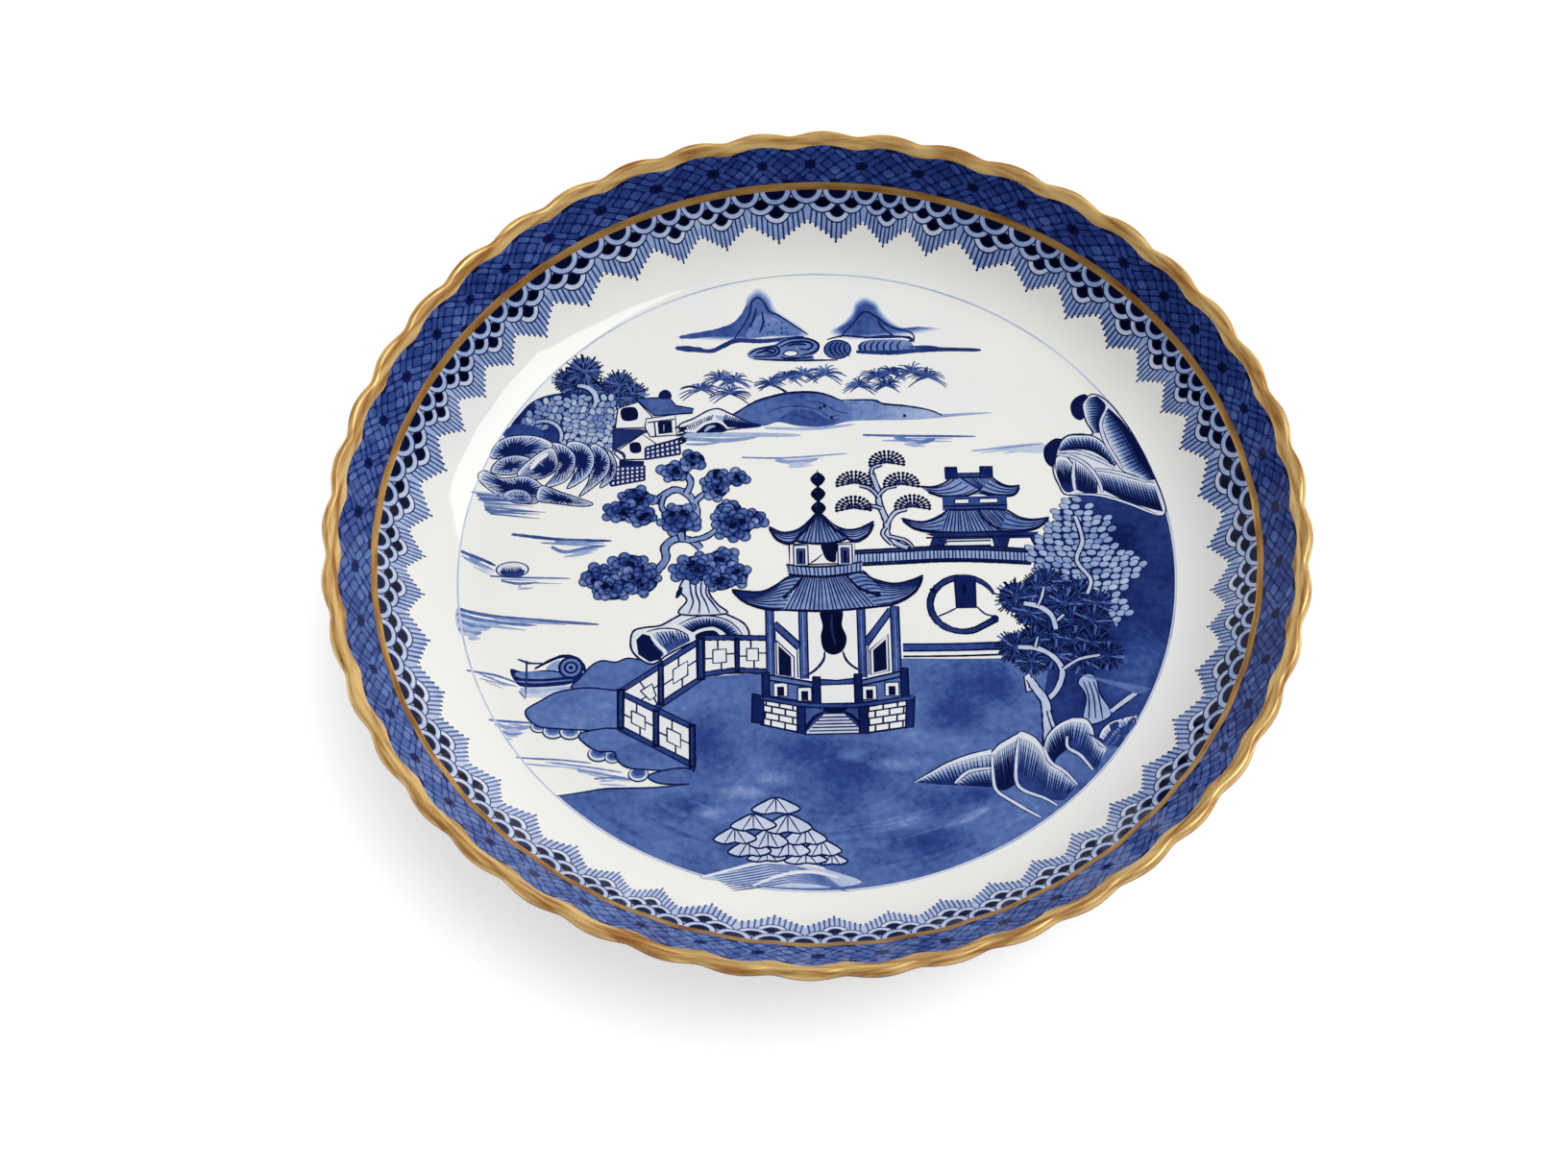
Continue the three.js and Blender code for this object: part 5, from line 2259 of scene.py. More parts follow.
@dataclass
class FarPavilion(Scenery):
    """The pavilion behind the wall, with its two tiers of roof, and the wall with its round gate."""

    name: str = "far_pavilion"
    gate_centre: Point = (20.9, -6.3)
    gate_radius: float = 4.75
    coping: Numbers = (5.6, 3.1, 12, 3.3, 18, 3.5, 24, 3.3, 31, 2.7)
    upper_roof: Roof = (
        (4, (20, 15.2, 19, 14.3, 17.4, 13.7, 15.4, 13.8), (24, 12.9, 22, 12, 19, 11.9, 16.6, 12.8), True),
        (11, (21, 15.2, 23, 15.2, 26, 15.1), (24, 13, 26, 12.2, 28.8, 12), False),
        (4, (26, 15.1, 27.2, 14, 28.6, 13.5, 30, 13.6), (24, 12.6, 26.4, 11.9, 29, 12, 29.9, 13.2), True),
    )
    lower_roof: Roof = (
        (4, (19.4, 9.7, 17.6, 8.4, 15.4, 7.7, 12.5, 8.4), (19, 6, 17, 5.9, 14.4, 6.6, 12.7, 8), True),
        (15, (19.4, 9.7, 21.6, 9.6, 24, 9.7), (18, 5.9, 22, 5.7, 26.8, 5.8), False),
        (9, (24, 9.7, 26, 9.6, 28, 9.4), (26.8, 5.9, 28.4, 5.8, 31, 6), False),
        (4, (28, 9.4, 29.6, 8.2, 31.6, 7.7, 34, 8), (26.8, 5.8, 29.6, 5.7, 32, 6.2, 33.9, 7.6), True),
    )

    def draw(self) -> None:
        """Draws the pavilion, the wall, the gate and the low rail."""
        self.pavilion()
        self.wall()
        self.gate()
        self.slab(0.7, 12, -12.7, 26.6, -12.9, 28, -13.9, 12, -13.8)
        for y in (-12.7, -13.8, -14.7):
            self.bar(0.3, 0.88, 12, y, 20, y - 0.1, 28, y)

    def pavilion(self) -> None:
        """Draws the two-tiered pavilion."""
        self.panel(0.76, 20.6, 15.9, 24.6, 14.6)
        self.slab(0.5, 19.6, 15.1, 26, 15.1, 28, 12.2, 18.6, 12.2)
        self.roof(self.upper_roof)
        for left, right in ((19.2, 20.9), (24.3, 26.1)):
            self.panel(0.86, left, 17, right, 15)
        self.slab(0.72, 18.6, 11.9, 28, 9.6)
        for left, right in ((20.4, 22.4), (24, 26.6)):
            self.panel(0.04, left, 11.5, right, 10.7)
        self.bar(0.3, 0.95, 18.6, 10.3, 28, 10.3)
        self.roof(self.lower_roof)
        self.line(0.42, 0.95, 23.6, 9.7, 25, 7.4, 27, 6)
        self.slab(0.8, 15.9, 5.7, 32.4, 5.6, 31.6, 4.6, 18.4, 4.6)
        self.bar(0.26, 0.95, 16, 5, 32.2, 5)
        self.panel(0.8, 17, 5, 19, 5, 18.4, 3.2, 16.4, 3.3)
        self.panel(0.8, 25.6, 5, 28.2, 5, 27.6, 3.1, 25.9, 3.1)
        self.panel(0.8, 31, 5, 32.6, 5, 33, 3.6, 31.6, 3.4)
        self.panel(0.04, 18.9, 4.3, 25.3, 3.5)

    def wall(self) -> None:
        """Draws the coped wall that runs back to the pavilion."""
        top = way(*self.coping)
        levels = [[(x, y - drop) for x, y in top] for drop in (0.55, 2.15, 2.5)]
        self.band(curve(top), curve(levels[0]), 0.8)
        flat = [tuple(number for spot in level for number in spot) for level in levels]
        self.tiles(46, flat[0], flat[2], ground=0.3, line=0.8)
        self.bar(0.32, 0.94, *self.coping)
        self.bar(0.3, 0.9, *flat[1])

    def gate(self) -> None:
        """Draws the round opening, with a hanging lamp in it."""
        turns = [math.radians(k * 6 + 20) for k in range(46)]
        ring = [around(self.gate_centre, turn, self.gate_radius, 0.95) for turn in turns]
        ring.append((25.6, -8.8))
        self.stroke(ring, 1.05, 0.95, ends=(0.35, 1.0), smooth=False)
        self.stroke(ring, 0.6, 0.8, ends=(0.3, 0.9), smooth=False)
        self.disc((25.3, -8.8), 0.62, 0.9)
        self.panel(0.88, 19.8, -1.7, 22.8, -1.7, 22.7, -6.9, 19.9, -6.9)
        self.line(0.6, 0.98, 21.2, -3, 21.2, -4.6)
        self.line(0.26, 0.86, 19.9, -6.9, 18.4, -7.7, 17, -8.3)
        self.line(0.26, 0.86, 22.8, -6.7, 24, -8, 25.4, -8.4)
        self.line(0.8, 0.94, 16.2, -3.6, 17.2, -4.4)


@dataclass
class FanPine(Scenery):
    """The small pine whose needles open like fans."""

    name: str = "fan_pine"
    reach: float = 2.5
    fans: tuple[Point, ...] = ((5.6, 10.3), (5.8, 14.6), (10.7, 18), (12.7, 14.2), (14.2, 10.3))
    stems: Rows = (
        (0.6, 13.2, 3.4, 11.6, 4.2, 10.4, 5.6, 10.3, 8, 9.4, 11, 9.2, 13.4, 8.3, 16.6),
        (0.3, 9.4, 12, 8.2, 13.6, 6.6, 14.2), (0.3, 9.7, 10.2, 8.4, 10.6, 6.6, 10.3),
        (0.3, 9.3, 12.4, 10.4, 13.6, 12, 14), (0.4, 10.4, 7.4, 11.6, 9.4, 13.4, 10),
        (0.3, 8.4, 16, 8.6, 17.2, 10, 17.8), (0.3, 10.6, 5.4, 13, 4.6, 14, 3.4),
        (0.3, 10.3, 7, 9.7, 5.8, 11, 4),
    )

    def draw(self) -> None:
        """Draws the stems, and fans of dotted needles on them."""
        for width, *spots in self.stems:
            self.branch(way(*spots), width, 0.24)
        for centre in self.fans:
            for ring, count in ((1.0, 14), (0.68, 10), (0.36, 6)):
                for k in range(count):
                    turn = math.radians(mix(-18, 198, (k + 0.5) / count))
                    tip = around(centre, turn, self.reach * ring, 0.8)
                    root = around(centre, turn, self.reach * (ring - 0.34), 0.8)
                    self.stroke([root, tip], 0.26, 0.86, ends=(0.7, 1.0))
                    self.disc(tip, 0.27, 0.94)


@dataclass
class Pagoda(Scenery):
    """The two-storeyed pagoda in the middle, on its brick base with steps."""

    name: str = "pagoda"
    beads: Numbers = (15.4, 12.85, 10.4)
    hanging: Numbers = (
        0.4, -6.8, 3.4, -6.8, 3.4, -9.4, 4, -11.4, 3.5, -13.4, 2.1, -14.2, 0.7, -13.4, 0.3, -11.2,
        0.6, -9.4,
    )
    columns: tuple[Point, ...] = ((-7.5, -6.4), (-2.75, -1.6), (5.6, 6.7), (10.4, 11.6))
    piers: Rows = (
        (-9.6, -20.2, -8, -20.7, -8.1, -25.2, -9.8, -24.9),
        (12.2, -21.5, 13.4, -21.2, 13, -26.2, 11.9, -26.4),
        (-3.3, -22, -2.2, -22.3, -2.2, -27, -3.4, -26.7), (5.4, -22.5, 6.7, -22.4, 6.7, -27.1, 5.4, -27.1),
    )
    posts: Rows = ((-8.2, -16.8, -20.9), (-1, -17.7, -22.1), (4.9, -17.4, -22.2), (11.5, -16.6, -21.4))
    ledge: Numbers = (-8.4, -20.9, -3, -22.1, 2, -22.5, 6.4, -22.4, 13.2, -21.4)
    lower_roof: Roof = (
        (9, (-2.2, -0.8, -4.3, -1.2, -6, -2.5, -8.4, -3.5, -12.3, -3),
         (-5, -6.6, -7, -6.5, -9.2, -5.8, -11, -4.7, -12.2, -3.2), True),
        (9, (4.2, -0.8, 6.4, -0.3, 8, -1.7, 11, -2.6, 13.6, -2.1, 15.3, -1.3),
         (8.6, -6.4, 10.6, -6.1, 12.6, -5.2, 14.4, -3.6, 15.2, -1.6), True),
        (20, (-2, -0.9, 1, -1.1, 4.2, -0.9), (-5, -6.6, 0, -6.9, 4, -6.8, 8.6, -6.4), False),
    )
    upper_roof: Roof = (
        (5, (-0.3, 9.1, -1.7, 7.5, -3.2, 6.6, -5, 6.5, -6.8, 7.5),
         (-2.9, 5.2, -3.6, 4.5, -4.8, 4.7, -5.9, 5.6, -6.7, 7.2), True),
        (5, (1.2, 9.1, 2.7, 7.5, 4.3, 6.7, 6.2, 6.8, 8.5, 8),
         (4.5, 5.4, 5.2, 4.7, 6.4, 4.8, 7.7, 5.9, 8.4, 7.6), True),
        (12, (-0.3, 9.2, 0.45, 9.5, 1.2, 9.2), (-3, 5, -1, 4.5, 0.6, 4.4, 2.6, 4.5, 4.6, 5.2), False),
    )

    def draw(self) -> None:
        """Draws the pagoda from the ground floor up to its finial."""
        self.slab(0.03, -6.6, -6.8, 10.6, -6.2, 11.4, -18, 5, -22, -0.5, -22, -7, -19)
        self.hall()
        self.base()
        self.lower_storey()
        self.upper_storey()
        for y in self.beads:
            self.patch(0.96, 0.5, y + 1.25, 1.6, y + 0.1, 0.5, y - 1.2, -0.6, y + 0.1)
            self.line(0.3, 0.76, -0.1, y + 0.4, 0.6, y + 0.6)
        self.line(0.5, 0.95, 0.5, 17, 0.5, 9.2, ends=(0.3, 1))

    def hall(self) -> None:
        """Draws the open hall: braces, doors, hanging and columns."""
        for brace in ((-6.4, -8.8, -2.7, -12.9), (10.5, -6.9, 6.6, -12.6)):
            self.bar(1.25, 0.94, *brace)
            self.bar(0.75, 0.68, *brace)
        self.panel(0.05, -6.1, -11.6, -3.6, -14.4, -3.6, -17.8, -6.1, -17.2, edge=0.76)
        self.slab(0.95, -5.8, -12.4, -4, -14.4, -4, -17.6, -5.8, -17.2)
        self.panel(0.05, 7.3, -13.5, 9.9, -11, 9.9, -17, 7.3, -17.6, edge=0.76)
        self.slab(0.95, 7.7, -13.6, 9.6, -11.8, 9.6, -16.8, 7.7, -17.3)
        for x, top, bottom in ((-3.1, -12.8, -17.8), (7, -12.6, -17.6), (-6.2, -9.6, -12)):
            self.bar(0.2, 0.76, x, top, x, bottom)
        for left, right in self.columns:
            self.panel(0.68, left, -6.4, right, -18)
            self.line(0.26, 0.48, (left + right) / 2, -7, (left + right) / 2, -17.6)
        self.patch(0.97, *self.hanging)
        self.line(0.3, 0.8, 2, -7.4, 1.9, -10, 2.4, -12.6)
        self.line(0.42, 0.86, 0.8, -13.6, 0.6, -15, -0.6, -16.6, -2.2, -17.7)
        self.line(0.42, 0.86, 3.4, -13.6, 3.8, -15, 4.8, -16.2, 6, -16.9)

    def base(self) -> None:
        """Draws the balustrade, the brick base and the steps."""
        self.bricks((-8.2, -21, -2.6, -22.3, -2.6, -26.8, -8.6, -25.2))
        self.bricks((6.2, -22.5, 12.4, -21.6, 12, -26.2, 6.2, -27))
        self.slab(0.66, -2.6, -22.4, 6.2, -22.4, 6.4, -27, -2.8, -26.9)
        self.panel(0.16, 0.4, -23.7, 3.4, -23.7, 6, -27, -2.4, -27)
        for k in range(1, 6):
            y, wide = mix(-23.8, -27, k / 6), mix(1.6, 4, k / 6)
            self.bar(0.24, 0.84, 1.9 - wide, y, 1.9 + wide, y)
        self.line(0.55, 0.94, -2.6, -26.8, -1, -24.4, 0.4, -23.5)
        self.line(0.55, 0.94, 6.3, -26.9, 4.6, -24.4, 3.4, -23.5)
        self.disc((2, -23.1), 1.7, 0.95, squash=0.35)
        for pier in self.piers:
            self.panel(0.86, *pier, edge=0.96)
        self.panel(0.56, -7.6, -17.2, -0.6, -18.7, -0.5, -22, -7.3, -20.7)
        self.panel(0.56, 5.3, -18.6, 12.2, -17, 12.4, -21.3, 5.4, -22.1)
        for x, y in ((-5.6, -18.6), (-2.2, -19.4), (7, -19.4), (10.2, -18.9)):
            self.panel(0.06, x - 1, y, x + 1, y - 2.2)
            self.slab(0.95, x - 0.5, y - 0.6, x + 0.5, y - 2.1)
        for y in (0.0, -0.85):
            self.bar(0.32, 0.93, -7.5, -17.2 + y, -0.6, -18.7 + y)
            self.bar(0.32, 0.93, 5.3, -18.6 + y, 12.2, -17 + y)
        self.panel(0.66, -0.6, -18.1, 2.4, -18.4, 5, -18.1, 5, -19, -0.6, -19.1)
        self.bar(0.95, 0.95, *self.ledge)
        self.bar(0.45, 0.72, *self.ledge)
        for left, top, bottom in self.posts:
            self.panel(0.86, left, top, left + 1.05, bottom, edge=0.96)

    def lower_storey(self) -> None:
        """Draws the broad lower roof."""
        self.roof(self.lower_roof)
        self.line(0.45, 0.95, -2, -1, -3.2, -2.8, -4.8, -4.4)
        self.line(0.45, 0.95, 4.2, -1, 6, -3.2, 8.8, -4.5)
        self.disc((-4.7, -4.4), 0.4, 0.95)
        self.disc((8.7, -4.4), 0.45, 0.95)

    def upper_storey(self) -> None:
        """Draws the upper storey and its roof."""
        ledge, foot = (-4.4, 1, -2, 0.6, 1, 0.5, 4, 0.7, 6.6, 1.2), (-4.1, -0.7, 1, -1.2, 6.5, -0.5)
        self.tiles(18, ledge, foot, ground=0.34, line=0.8)
        self.panel(0.03, -3.9, 4.4, 5.6, 4.5, 5.5, 1, -3.9, 0.9)
        for left, right in ((-3.3, -1.2), (3.1, 5.2)):
            self.panel(0.1, left, 4.2, right, 0.8)
            self.panel(0.68, left + 0.5, 3.6, right - 0.5, 1)
            self.slab(0.96, left + 0.8, 3.2, right - 0.8, 1.2)
        self.patch(0.96, 0.8, 4.5, 3, 4.5, 2.9, 2.6, 2.7, 1.2, 1.5, 1.6, 0.9, 3)
        self.line(0.26, 0.84, 0.9, 2.6, -0.2, 1.6, -1.1, 1)
        self.roof(self.upper_roof)
        self.line(0.5, 0.95, -0.2, 9.2, -1.2, 7.2, -2.9, 5.2)
        self.line(0.5, 0.95, 1.1, 9.2, 2.4, 7.2, 4.5, 5.4)


@dataclass
class RightBank(Scenery):
    """The dark bank at the right: cliff, oval-leaved trees and pines."""

    name: str = "right_bank"
    edge: float = 51.6
    top_edge: Numbers = (38.6, 12, 44, 12, 50, 12.2)
    left_edge: Numbers = (
        40, -29.6, 36, -27, 32.2, -28, 31.4, -23, 32.4, -18, 34, -4, 34, 0, 34.6, 3, 36, 6, 37.6, 9,
    )
    cliff: Numbers = (
        40.8, 28.8, 40, 27.6, 40, 26.2, 40.4, 24.3, 41.2, 22.2, 39.3, 22.3, 37.5, 22.1, 36.3, 21,
        35.6, 18.8, 35, 16, 35.8, 13.2, 36.5, 11.9, 38.2, 11.7, 41.5, 11.3, 45.2, 10, 49.8, 7.8, 51, 8.6,
        50.5, 11.6, 49.8, 14, 48.4, 18.4, 46.6, 22.8, 44.4, 26.8, 42.8, 28.6, 41.6, 29.2,
    )
    flanks: Flanks = (
        ((43.3, 26.2, 42.5, 24.3, 42.6, 22.4, 43.3, 20, 44.2, 17.6, 45.2, 15.7, 47, 14.8, 48.6, 13.8),
         (43.8, 26.6, 45.8, 24, 47.3, 21, 48.4, 18.1, 49.3, 15.7, 49.8, 13.9), 0.94, 22),
        ((40.8, 28.6, 40, 27.6, 40, 26.2, 40.4, 24.3, 41.5, 22.3),
         (42.2, 28.8, 43.4, 27, 42.3, 24.7, 42.2, 22.4), 0.9, 14),
        ((36, 19.5, 36.4, 20.9, 37.5, 22, 39.3, 22.1, 41.1, 21.9, 42.6, 20.7, 43.7, 18.6, 44.3, 16.8),
         (36.4, 19.4, 38.6, 19.6, 40.8, 19.2, 42.6, 17.9, 44, 16.4), 0.93, 22),
        ((35.3, 16.2, 35.6, 18.4, 37.1, 18.4, 38, 16.9),
         (36, 13.3, 36.6, 12.3, 37.4, 12.2, 37.9, 12.6), 0.86, 12),
        ((38.2, 18, 40, 16.7, 41.4, 14.5), (38.3, 12.6, 39.7, 11.9, 41.3, 12), 0.92, 12),
        ((41, 16, 43.7, 15.5, 46.6, 14.5, 49.6, 13.4),
         (42.2, 12.4, 45.2, 10.5, 47.4, 9.6, 50.6, 8.4), 0.93, 20),
    )
    ridges: Rows = (
        (38, 11.8, 41.5, 11.5, 45.2, 10.2, 49.6, 8), (35.6, 18.8, 37.8, 18.4, 40, 16.8, 41.5, 14.3, 42, 12),
        (36, 19.2, 38.6, 19.2, 41.5, 17.9, 44.2, 16.2),
        (43.3, 26.2, 42.5, 24.3, 42.6, 22.4, 43.3, 20, 45.2, 15.9),
        (41, 16.1, 43.7, 15.6, 46.6, 14.6, 48.8, 13.6), (38.2, 17.6, 37.9, 15, 38, 12.4),
    )
    moss: Rows = (
        (40.4, 29.3, 41, 28.5, 40.2, 27.8, 40.2, 25.4, 39.4, 24.7, 38.4, 25.6, 38.2, 27.4, 39, 28.7),
        (35.6, 21.6, 37, 21, 36.6, 18, 35.4, 16.6, 34.4, 17, 33.8, 18.4, 34, 20.2),
    )
    leaf_rows: Rows = (
        (10.8, 36.8, 38.6), (9.8, 36, 39.4), (8.8, 35.4, 40.2), (7.8, 34.8, 42), (6.8, 34.2, 42.6),
        (5.8, 33.4, 42.6), (4.8, 32.8, 42), (3.8, 32, 42), (2.8, 31.4, 43.6), (1.8, 31, 45),
        (0.8, 31.2, 46.4), (-0.2, 31.6, 46.8), (-1.2, 32, 46.4), (-2.2, 32.6, 45.6), (-3.2, 34, 44.6),
        (-4.2, 35.4, 43.8), (-5.2, 37, 43.2), (-6.4, 39.6, 43.6), (-7.4, 39.8, 44.4), (-8.4, 40.2, 44.2),
        (-9.4, 40.4, 43), (-10.4, 40.2, 41.8),
    )
    gloom: Numbers = (
        29.4, -4.6, 33, -2, 38, -4, 42, -9, 43, -15, 40, -18, 36, -18, 33, -17.4, 29.4, -16.4, 28.6, -13.6,
        31, -10.8, 28.6, -8,
    )
    pines: Rows = (
        (37.4, -5, 2.8), (40, -6.6, 2.6), (33, -2.8, 2.7), (35.4, -6.6, 2.8), (31.4, -3.8, 2.4),
        (28.6, -5.4, 3.1), (30.4, -8, 2.6), (36.2, -9.6, 2.8), (39.2, -9.6, 2.8), (33.2, -11.6, 2.6),
        (30.6, -12.4, 2.6), (36.4, -12.8, 2.7), (39.2, -13.2, 2.6), (28, -13.6, 2.9), (41.2, -15.4, 2.4),
        (37.6, -15.8, 2.6), (30.2, -16, 2.4), (33.6, -15, 2.5),
    )
    branches: Rows = (
        (0.7, 29.6, -6.4, 31.6, -6.9, 33.4, -8.4, 34, -10.8), (0.3, 32.6, -3.8, 32.2, -5.4, 31.6, -6.8),
        (0.4, 35.2, -8.4, 34.2, -9.4),
        (0.7, 28.4, -13.6, 31.4, -14, 33.6, -15.6, 34.5, -17.8, 33.6, -20.6, 32, -22.4),
        (0.3, 30.8, -13.8, 31.3, -12), (0.4, 34.6, -17.4, 37, -15.8, 40, -15.2),
        (1.1, 31.8, -29.4, 31.9, -26, 31.8, -22.6, 30.6, -20.4, 29.8, -18.8),
        (0.6, 41, -24.4, 43, -22.8, 45.4, -21), (0.5, 38.8, -5, 39.4, -2.6, 37.6, 0.6, 38.6, 4, 37.8, 8),
        (0.4, 34, -29, 32.8, -26.6, 32.2, -24),
    )
    stump: Numbers = (37, -26.4, 37.6, -22, 36.6, -19.6, 37.8, -18.2, 39.2, -18.8, 39.6, -21.4, 41, -25)

    def draw(self) -> None:
        """Paints the bank, the cliff and then the trees."""
        bank = way(*self.top_edge) + arc((0, 0), self.edge, 11, -36, 30) + way(*self.left_edge)
        self.shade(bank, tuple(0.78 + 0.012 * k for k in range(10)), (44, 2))
        for k in range(6):
            self.disc((44, -18), 6 - k * 0.8, 0.03, squash=1.4, ink=Ink.WIPE)
        for outline in self.moss:
            self.patch(0.92, *outline)
        self.patch(0.1, *self.cliff)
        self.slopes(self.flanks, self.ridges)
        self.outline(way(*self.cliff), 0.22, 0.88)
        self.leaves()
        self.patch(0.78, *self.gloom)
        for x, y, reach in self.pines:
            self.spikes((x, y), reach)
        self.panel(0.16, 29.2, -21, 29, -18.4, 29.9, -17.9, 30.5, -20.6)
        self.bar(0.4, 0.9, 29.6, -19.2, 29.8, -20.4)
        self.patch(0.3, *self.stump)
        for k in (0.0, 0.7, 1.4):
            self.line(0.24, 0.86, 37.4 + k, -19.4, 38 + k, -22, 37.8 + k * 1.4, -25.6)
        self.outline(way(*self.stump), 0.26, 0.9)
        for width, *spots in self.branches:
            self.branch(way(*spots), width, 0.2)

    def leaves(self) -> None:
        """Draws the trees' pale oval leaves, which lean away from the stem on both sides."""
        for y, left, right in self.leaf_rows:
            self.slab(0.84, left + 0.2, y + 0.6, right - 0.2, y - 0.6)
        for number, (y, left, right) in enumerate(self.leaf_rows):
            count = round((right - left) / 1.4)
            for k in range(count + 1):
                x = mix(left, right, k / count) + (0.35 if number % 2 else -0.35)
                x += self.hand.uniform(-0.2, 0.2)
                lean = mix(-28, 24, min(max((x - 35) / 7, 0), 1)) + self.hand.uniform(-12, 12)
                self.leaf((x, y + self.hand.uniform(-0.2, 0.2)), lean, self.hand.uniform(0.27, 0.42))


@dataclass
class NearRocks(Scenery):
    """The white-ridged rocks at the lower right, and the heap of shell-like stones at the bottom."""

    name: str = "near_rocks"
    flanks: Flanks = (
        ((39, -28.6, 39.6, -27.2, 41, -26, 43, -25.4, 44.6, -25.2),
         (40.6, -30.6, 42.4, -29.2, 44.4, -26.6), 0.66, 12),
        ((31.2, -30, 31.8, -28, 33.5, -26.2, 35.5, -25.3), (32.6, -32.6, 33, -31.6, 34.9, -30), 0.93, 14),
        ((35.5, -25.3, 37.4, -25.5, 38.3, -27, 38.6, -28.8, 40, -30.4),
         (34.9, -30.2, 36.8, -32.2, 38.4, -33.8), 0.74, 14),
        ((12.6, -35, 15.5, -33.2, 17.5, -32, 20.5, -30.8, 23.8, -30),
         (14, -35.1, 17, -35.5, 20, -35.7, 23.9, -36), 0.84, 20),
        ((18.5, -35.3, 20.5, -33.4, 23.8, -32.8), (20, -35.7, 22, -35.9, 24, -36.1), 0.9, 10),
        ((23.8, -30.6, 25, -29.2, 26.8, -28.1, 28, -27.4),
         (24.4, -36.4, 25.2, -36.6, 26.2, -36.2, 27.2, -35.4), 0.93, 14),
        ((28, -27.4, 28.4, -27.3, 30, -28.2, 31, -29.6, 32, -32.2, 34, -33.8, 35.6, -35.8),
         (27.3, -35.4, 28, -36.6, 29.4, -37.2, 31, -38, 33.4, -38.4, 34.4, -37.4), 0.76, 26),
    )
    ridges: Rows = (
        (23.9, -30.8, 23.9, -34.5, 24.3, -36.6, 26.2, -38.2, 30.2, -41),
        (18.5, -35.3, 20.5, -33.5, 23.6, -33),
        (27.8, -28.2, 27.3, -31.5, 27.1, -35, 28, -36.6, 31, -38, 32.6, -39.2), (38.5, -28.8, 40, -30.4),
        (31.2, -29.8, 32, -32.2, 34, -33.9, 35.6, -36), (34.6, -28.2, 34.6, -30, 36.3, -31.3, 37.9, -33.7),
    )
    mound: Numbers = (
        -17.4, -49.2, -13, -48, -8.6, -47, -3.6, -47.2, 0, -48.2, 5, -50.4, 0, -51.2, -8, -50.8, -13, -50,
    )
    shells: Rows = (
        (-6.6, -36.9, 3.4, 2.6), (-9.8, -39.4, 3.2, 2.6), (-5, -39.6, 3.4, 3), (-12.4, -41.4, 3, 2.6),
        (-7.8, -41.8, 2.8, 3), (-2.6, -41.6, 3, 2.8), (-10.4, -43.4, 3, 2.6), (-5, -43.4, 3, 2.8),
        (-0.4, -43.6, 2.8, 2.6), (-8, -45, 2.8, 1.9), (-2.6, -45.4, 3, 2), (1, -45.8, 2.2, 1.8),
    )

    def draw(self) -> None:
        """Draws the rocks, the mound and the heap."""
        self.slopes(self.flanks, self.ridges)
        self.patch(0.2, *self.mound)
        for k in range(9):
            x, y = -8 + k * 0.4, -47.3 - 0.35 * k
            self.line(0.24, 0.56, x, y, x - 5, y - 0.9, x - 8, y - 1.4, ends=(0.8, 0.2))
            self.line(0.24, 0.56, x, y, x + 4, y - 0.5, x + 8, y - 1.8, ends=(0.8, 0.2))
        self.line(0.5, 0.06, -17, -49.2, -13, -48, -8.6, -47, -3.6, -47.2, 0, -48.2)
        self.line(0.5, 0.06, -10, -50.6, -6, -49, -2, -48.6, 2, -49.6)
        for x, y, wide, tall in reversed(self.shells):
            self.shell((x, y), wide, tall)

    def shell(self, apex: Point, wide: float, tall: float) -> None:
        """Draws one stone like a scallop shell, ribbed from its top.

        Args:
            apex: Its top.
            wide: Half its width.
            tall: Its height.
        """
        scallops = ((-1, 0.72), (-0.5, 1), (0, 0.92), (0.5, 1), (1, 0.72))
        foot = [(apex[0] + wide * across, apex[1] - tall * down) for across, down in scallops]
        sides = [(apex[0] + wide * across, apex[1] - tall * 0.28) for across in (-0.55, 0.55)]
        outline = [apex, sides[0], *foot, sides[1]]
        self.fill(outline, 0.16)
        for tip in foot[1:-1]:
            self.stroke([apex, tip], 0.22, 0.8, ends=(0.8, 0.6))
        self.outline(outline, 0.3, 0.88)


@dataclass
class LakeScene:
    """The whole picture in the well, painted from the back to the front."""

    wares: Wares
    parts: tuple[Scenery, ...] = field(
        default_factory=lambda: (
            Water(), FarMountains(), FarShore(), GrassSprays(), IslandVillage(), NearShore(), TwistedTree(),
            KeyFence(), FarPavilion(), FanPine(), RightBank(), NearRocks(), Pagoda(),
        )
    )

    def build(self) -> None:
        """Paints every part, each a little above the one before."""
        for layer, part in enumerate(self.parts):
            part.build(layer, self.wares.cobalt)


# Studio


@dataclass(frozen=True)
class SoftBox:
    """A broad lamp that hangs over the table and faces the saucer."""

    name: str
    way: Place
    edge: Place
    size: tuple[float, float]
    distance: float
    level: float

    def hang(self) -> None:
        """Puts the lamp up, turned so that its first side runs along its edge."""
        lamp = bpy.data.lights.new(self.name, "AREA")
        lamp.shape = "RECTANGLE"
        lamp.size, lamp.size_y = self.size
        lamp.energy = self.level * math.pi * self.size[0] * self.size[1]
        back = Vector(self.way).normalized()
        side = Vector(self.edge)
        side = (side - back * side.dot(back)).normalized()
        turned = Matrix((side, back.cross(side), back)).transposed().to_4x4()
        holder = place_object(self.name, lamp)
        holder.matrix_world = Matrix.Translation(back * self.distance) @ turned


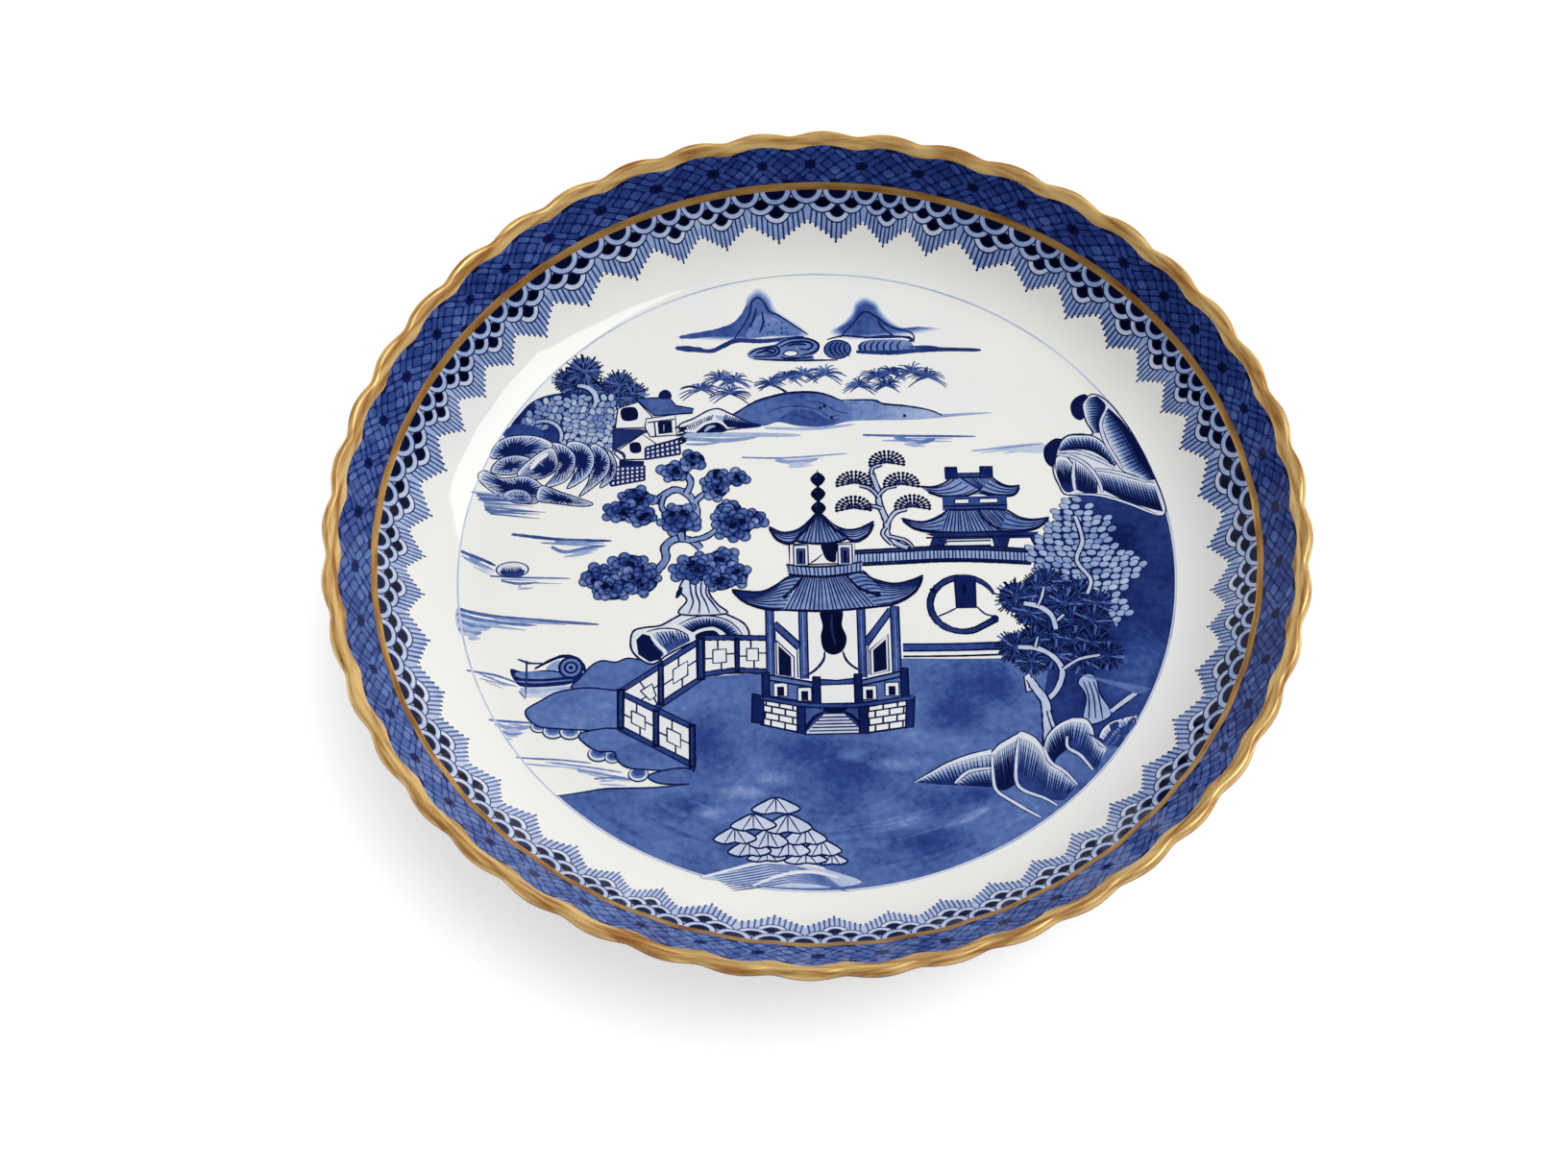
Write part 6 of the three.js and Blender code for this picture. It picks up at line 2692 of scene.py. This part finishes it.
@dataclass
class Studio:
    """Camera, lamps, white table and plain surroundings."""

    image_width: int = 1632
    focal_pixels: float = 4120.0
    sensor: float = 36.0
    nearest: float = 0.01
    elevation: float = math.radians(59.32)
    roll: float = math.radians(1.29)
    distance: float = 562.1
    aside: float = -4.781
    raised: float = -7.637
    lamps: tuple[SoftBox, ...] = (
        SoftBox("window_box", (0.378, 0.267, 0.887), (0.16, 0.9, -0.39), (0.29, 0.34), 0.74, 4.0),
    )
    fill_level: float = 0.3
    fill_above: float = 0.47
    sky_way: Place = (0.6, 0.48, 0.64)
    sky_level: float = 1.5
    sky_focus: float = 6.0
    horizon_level: float = 0.9
    back_level: float = 0.25
    back_from: float = 0.4
    back_to: float = 0.9
    dark_level: float = 0.02
    dark_from: float = 0.1
    dark_to: float = 0.48
    floor_size: float = 3.0
    floor_height: float = -0.00005
    floor_paint: float = 0.88
    # The table glows less within a ring round this point, offset under the saucer: a painted shadow that
    # deepens the saucer's real one.
    shadow: Place = (-0.01, -0.006, 0.0)
    painted_shadow_glow: float = 0.31
    far_glow: float = 0.49
    glow_from: float = 0.053
    glow_to: float = 0.068

    def build(self) -> None:
        """Sets the studio up."""
        bpy.context.scene.view_settings.view_transform = "Standard"
        self.camera()
        for lamp in self.lamps:
            lamp.hang()
        self.world()
        self.floor()

    def camera(self) -> None:
        """Puts the camera where the photograph was taken from."""
        back = Vector((0, -math.cos(self.elevation), math.sin(self.elevation)))
        right = Vector((1, 0, 0))
        upright = back.cross(right)
        spot = back * self.distance + right * self.aside + upright * self.raised
        spot += Vector((0, 0, PROFILE.lip_centre[1]))
        turn, lean = math.cos(self.roll), math.sin(self.roll)
        axes = (right * turn - upright * lean, right * lean + upright * turn, back)
        camera = place_object("camera", bpy.data.cameras.new("camera"))
        camera.data.sensor_width = self.sensor
        camera.data.lens = self.focal_pixels / self.image_width * self.sensor
        camera.data.clip_start = self.nearest
        camera.matrix_world = Matrix.Translation(spot * MM) @ Matrix(axes).transposed().to_4x4()
        bpy.context.scene.camera = camera

    def world(self) -> None:
        """Makes the surroundings: an even fill, and a dark room above a white horizon in reflections."""
        world = bpy.data.worlds.new("surroundings")
        world.use_nodes = True
        bpy.context.scene.world = world
        bench = NodeBench(world.node_tree)
        path = bench.add("ShaderNodeLightPath").outputs
        heading = bench.add("ShaderNodeTexCoord").outputs["Generated"]
        _, deep, high = bench.split(heading)
        facing = bench.add("ShaderNodeVectorMath", {0: heading, 1: self.sky_way}, operation="DOT_PRODUCT")
        facing = bench.math("POWER", bench.math("MAXIMUM", facing.outputs["Value"], 0.0), self.sky_focus)
        above = bench.math("MAXIMUM", high, 0.0)
        overhead = bench.math("MULTIPLY_ADD", above, self.fill_above, self.fill_level)
        fill = bench.math("MULTIPLY_ADD", facing, self.sky_level, overhead)
        horizon = bench.fade(deep, self.back_from, self.back_to, self.horizon_level, self.back_level)
        mirrored = bench.fade(high, self.dark_from, self.dark_to, horizon, self.dark_level)
        seen = bench.math("MAXIMUM", path["Is Camera Ray"], path["Is Transmission Ray"])
        plain = bench.fade(path["Is Glossy Ray"], 0.0, 1.0, fill, mirrored)
        level = bench.fade(seen, 0.0, 1.0, plain, 1.0)
        sky = bench.add("ShaderNodeBackground", {"Color": (1, 1, 1, 1), "Strength": level})
        bench.add("ShaderNodeOutputWorld", {0: sky.outputs[0]})

    def floor(self) -> None:
        """Lays the white table top, which keeps the saucer's shadow, with a painted shadow added: it glows
        less round a point under the saucer.
        """
        half = self.floor_size / 2
        spots = [(x, y, self.floor_height) for x, y in rectangle(-half, -half, half, half)]
        mesh = bpy.data.meshes.new("table_top")
        mesh.from_pydata(spots, [], [(0, 1, 2, 3)])
        material = bpy.data.materials.new("white_table")
        material.use_nodes = True
        bench = NodeBench(material.node_tree)
        paint = bench.add("ShaderNodeBsdfDiffuse", {"Color": (self.floor_paint,) * 3 + (1.0,)})
        path = bench.add("ShaderNodeLightPath").outputs
        seen = bench.math("MAXIMUM", path["Is Camera Ray"], path["Is Transmission Ray"])
        seen = bench.math("MAXIMUM", seen, path["Is Glossy Ray"])
        spot = bench.add("ShaderNodeTexCoord").outputs["Object"]
        # Painted shadow: the glow rises from a low level near the saucer to a higher one further out.
        away = bench.add("ShaderNodeVectorMath", {0: spot, 1: self.shadow}, operation="DISTANCE")
        away = away.outputs["Value"]
        level = bench.fade(away, self.glow_from, self.glow_to, self.painted_shadow_glow, self.far_glow)
        glow = bench.add("ShaderNodeEmission", {"Strength": bench.math("MULTIPLY", seen, level)})
        both = bench.add("ShaderNodeAddShader", {0: paint.outputs[0], 1: glow.outputs[0]})
        bench.add("ShaderNodeOutputMaterial", {0: both.outputs[0]})
        mesh.materials.append(material)
        place_object("table_top", mesh)


def write_sizes() -> None:
    """Updates the view layer."""
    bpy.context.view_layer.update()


def main() -> None:
    """Builds the saucer and the studio."""
    logging.basicConfig(level=logging.INFO, format="%(name)s: %(message)s")
    wares = Wares()
    Dish(wares).build()
    DiaperBorder(wares).build()
    ScaleBorder(wares).build()
    LakeScene(wares).build()
    Studio().build()
    write_sizes()


if __name__ == "__main__":
    main()
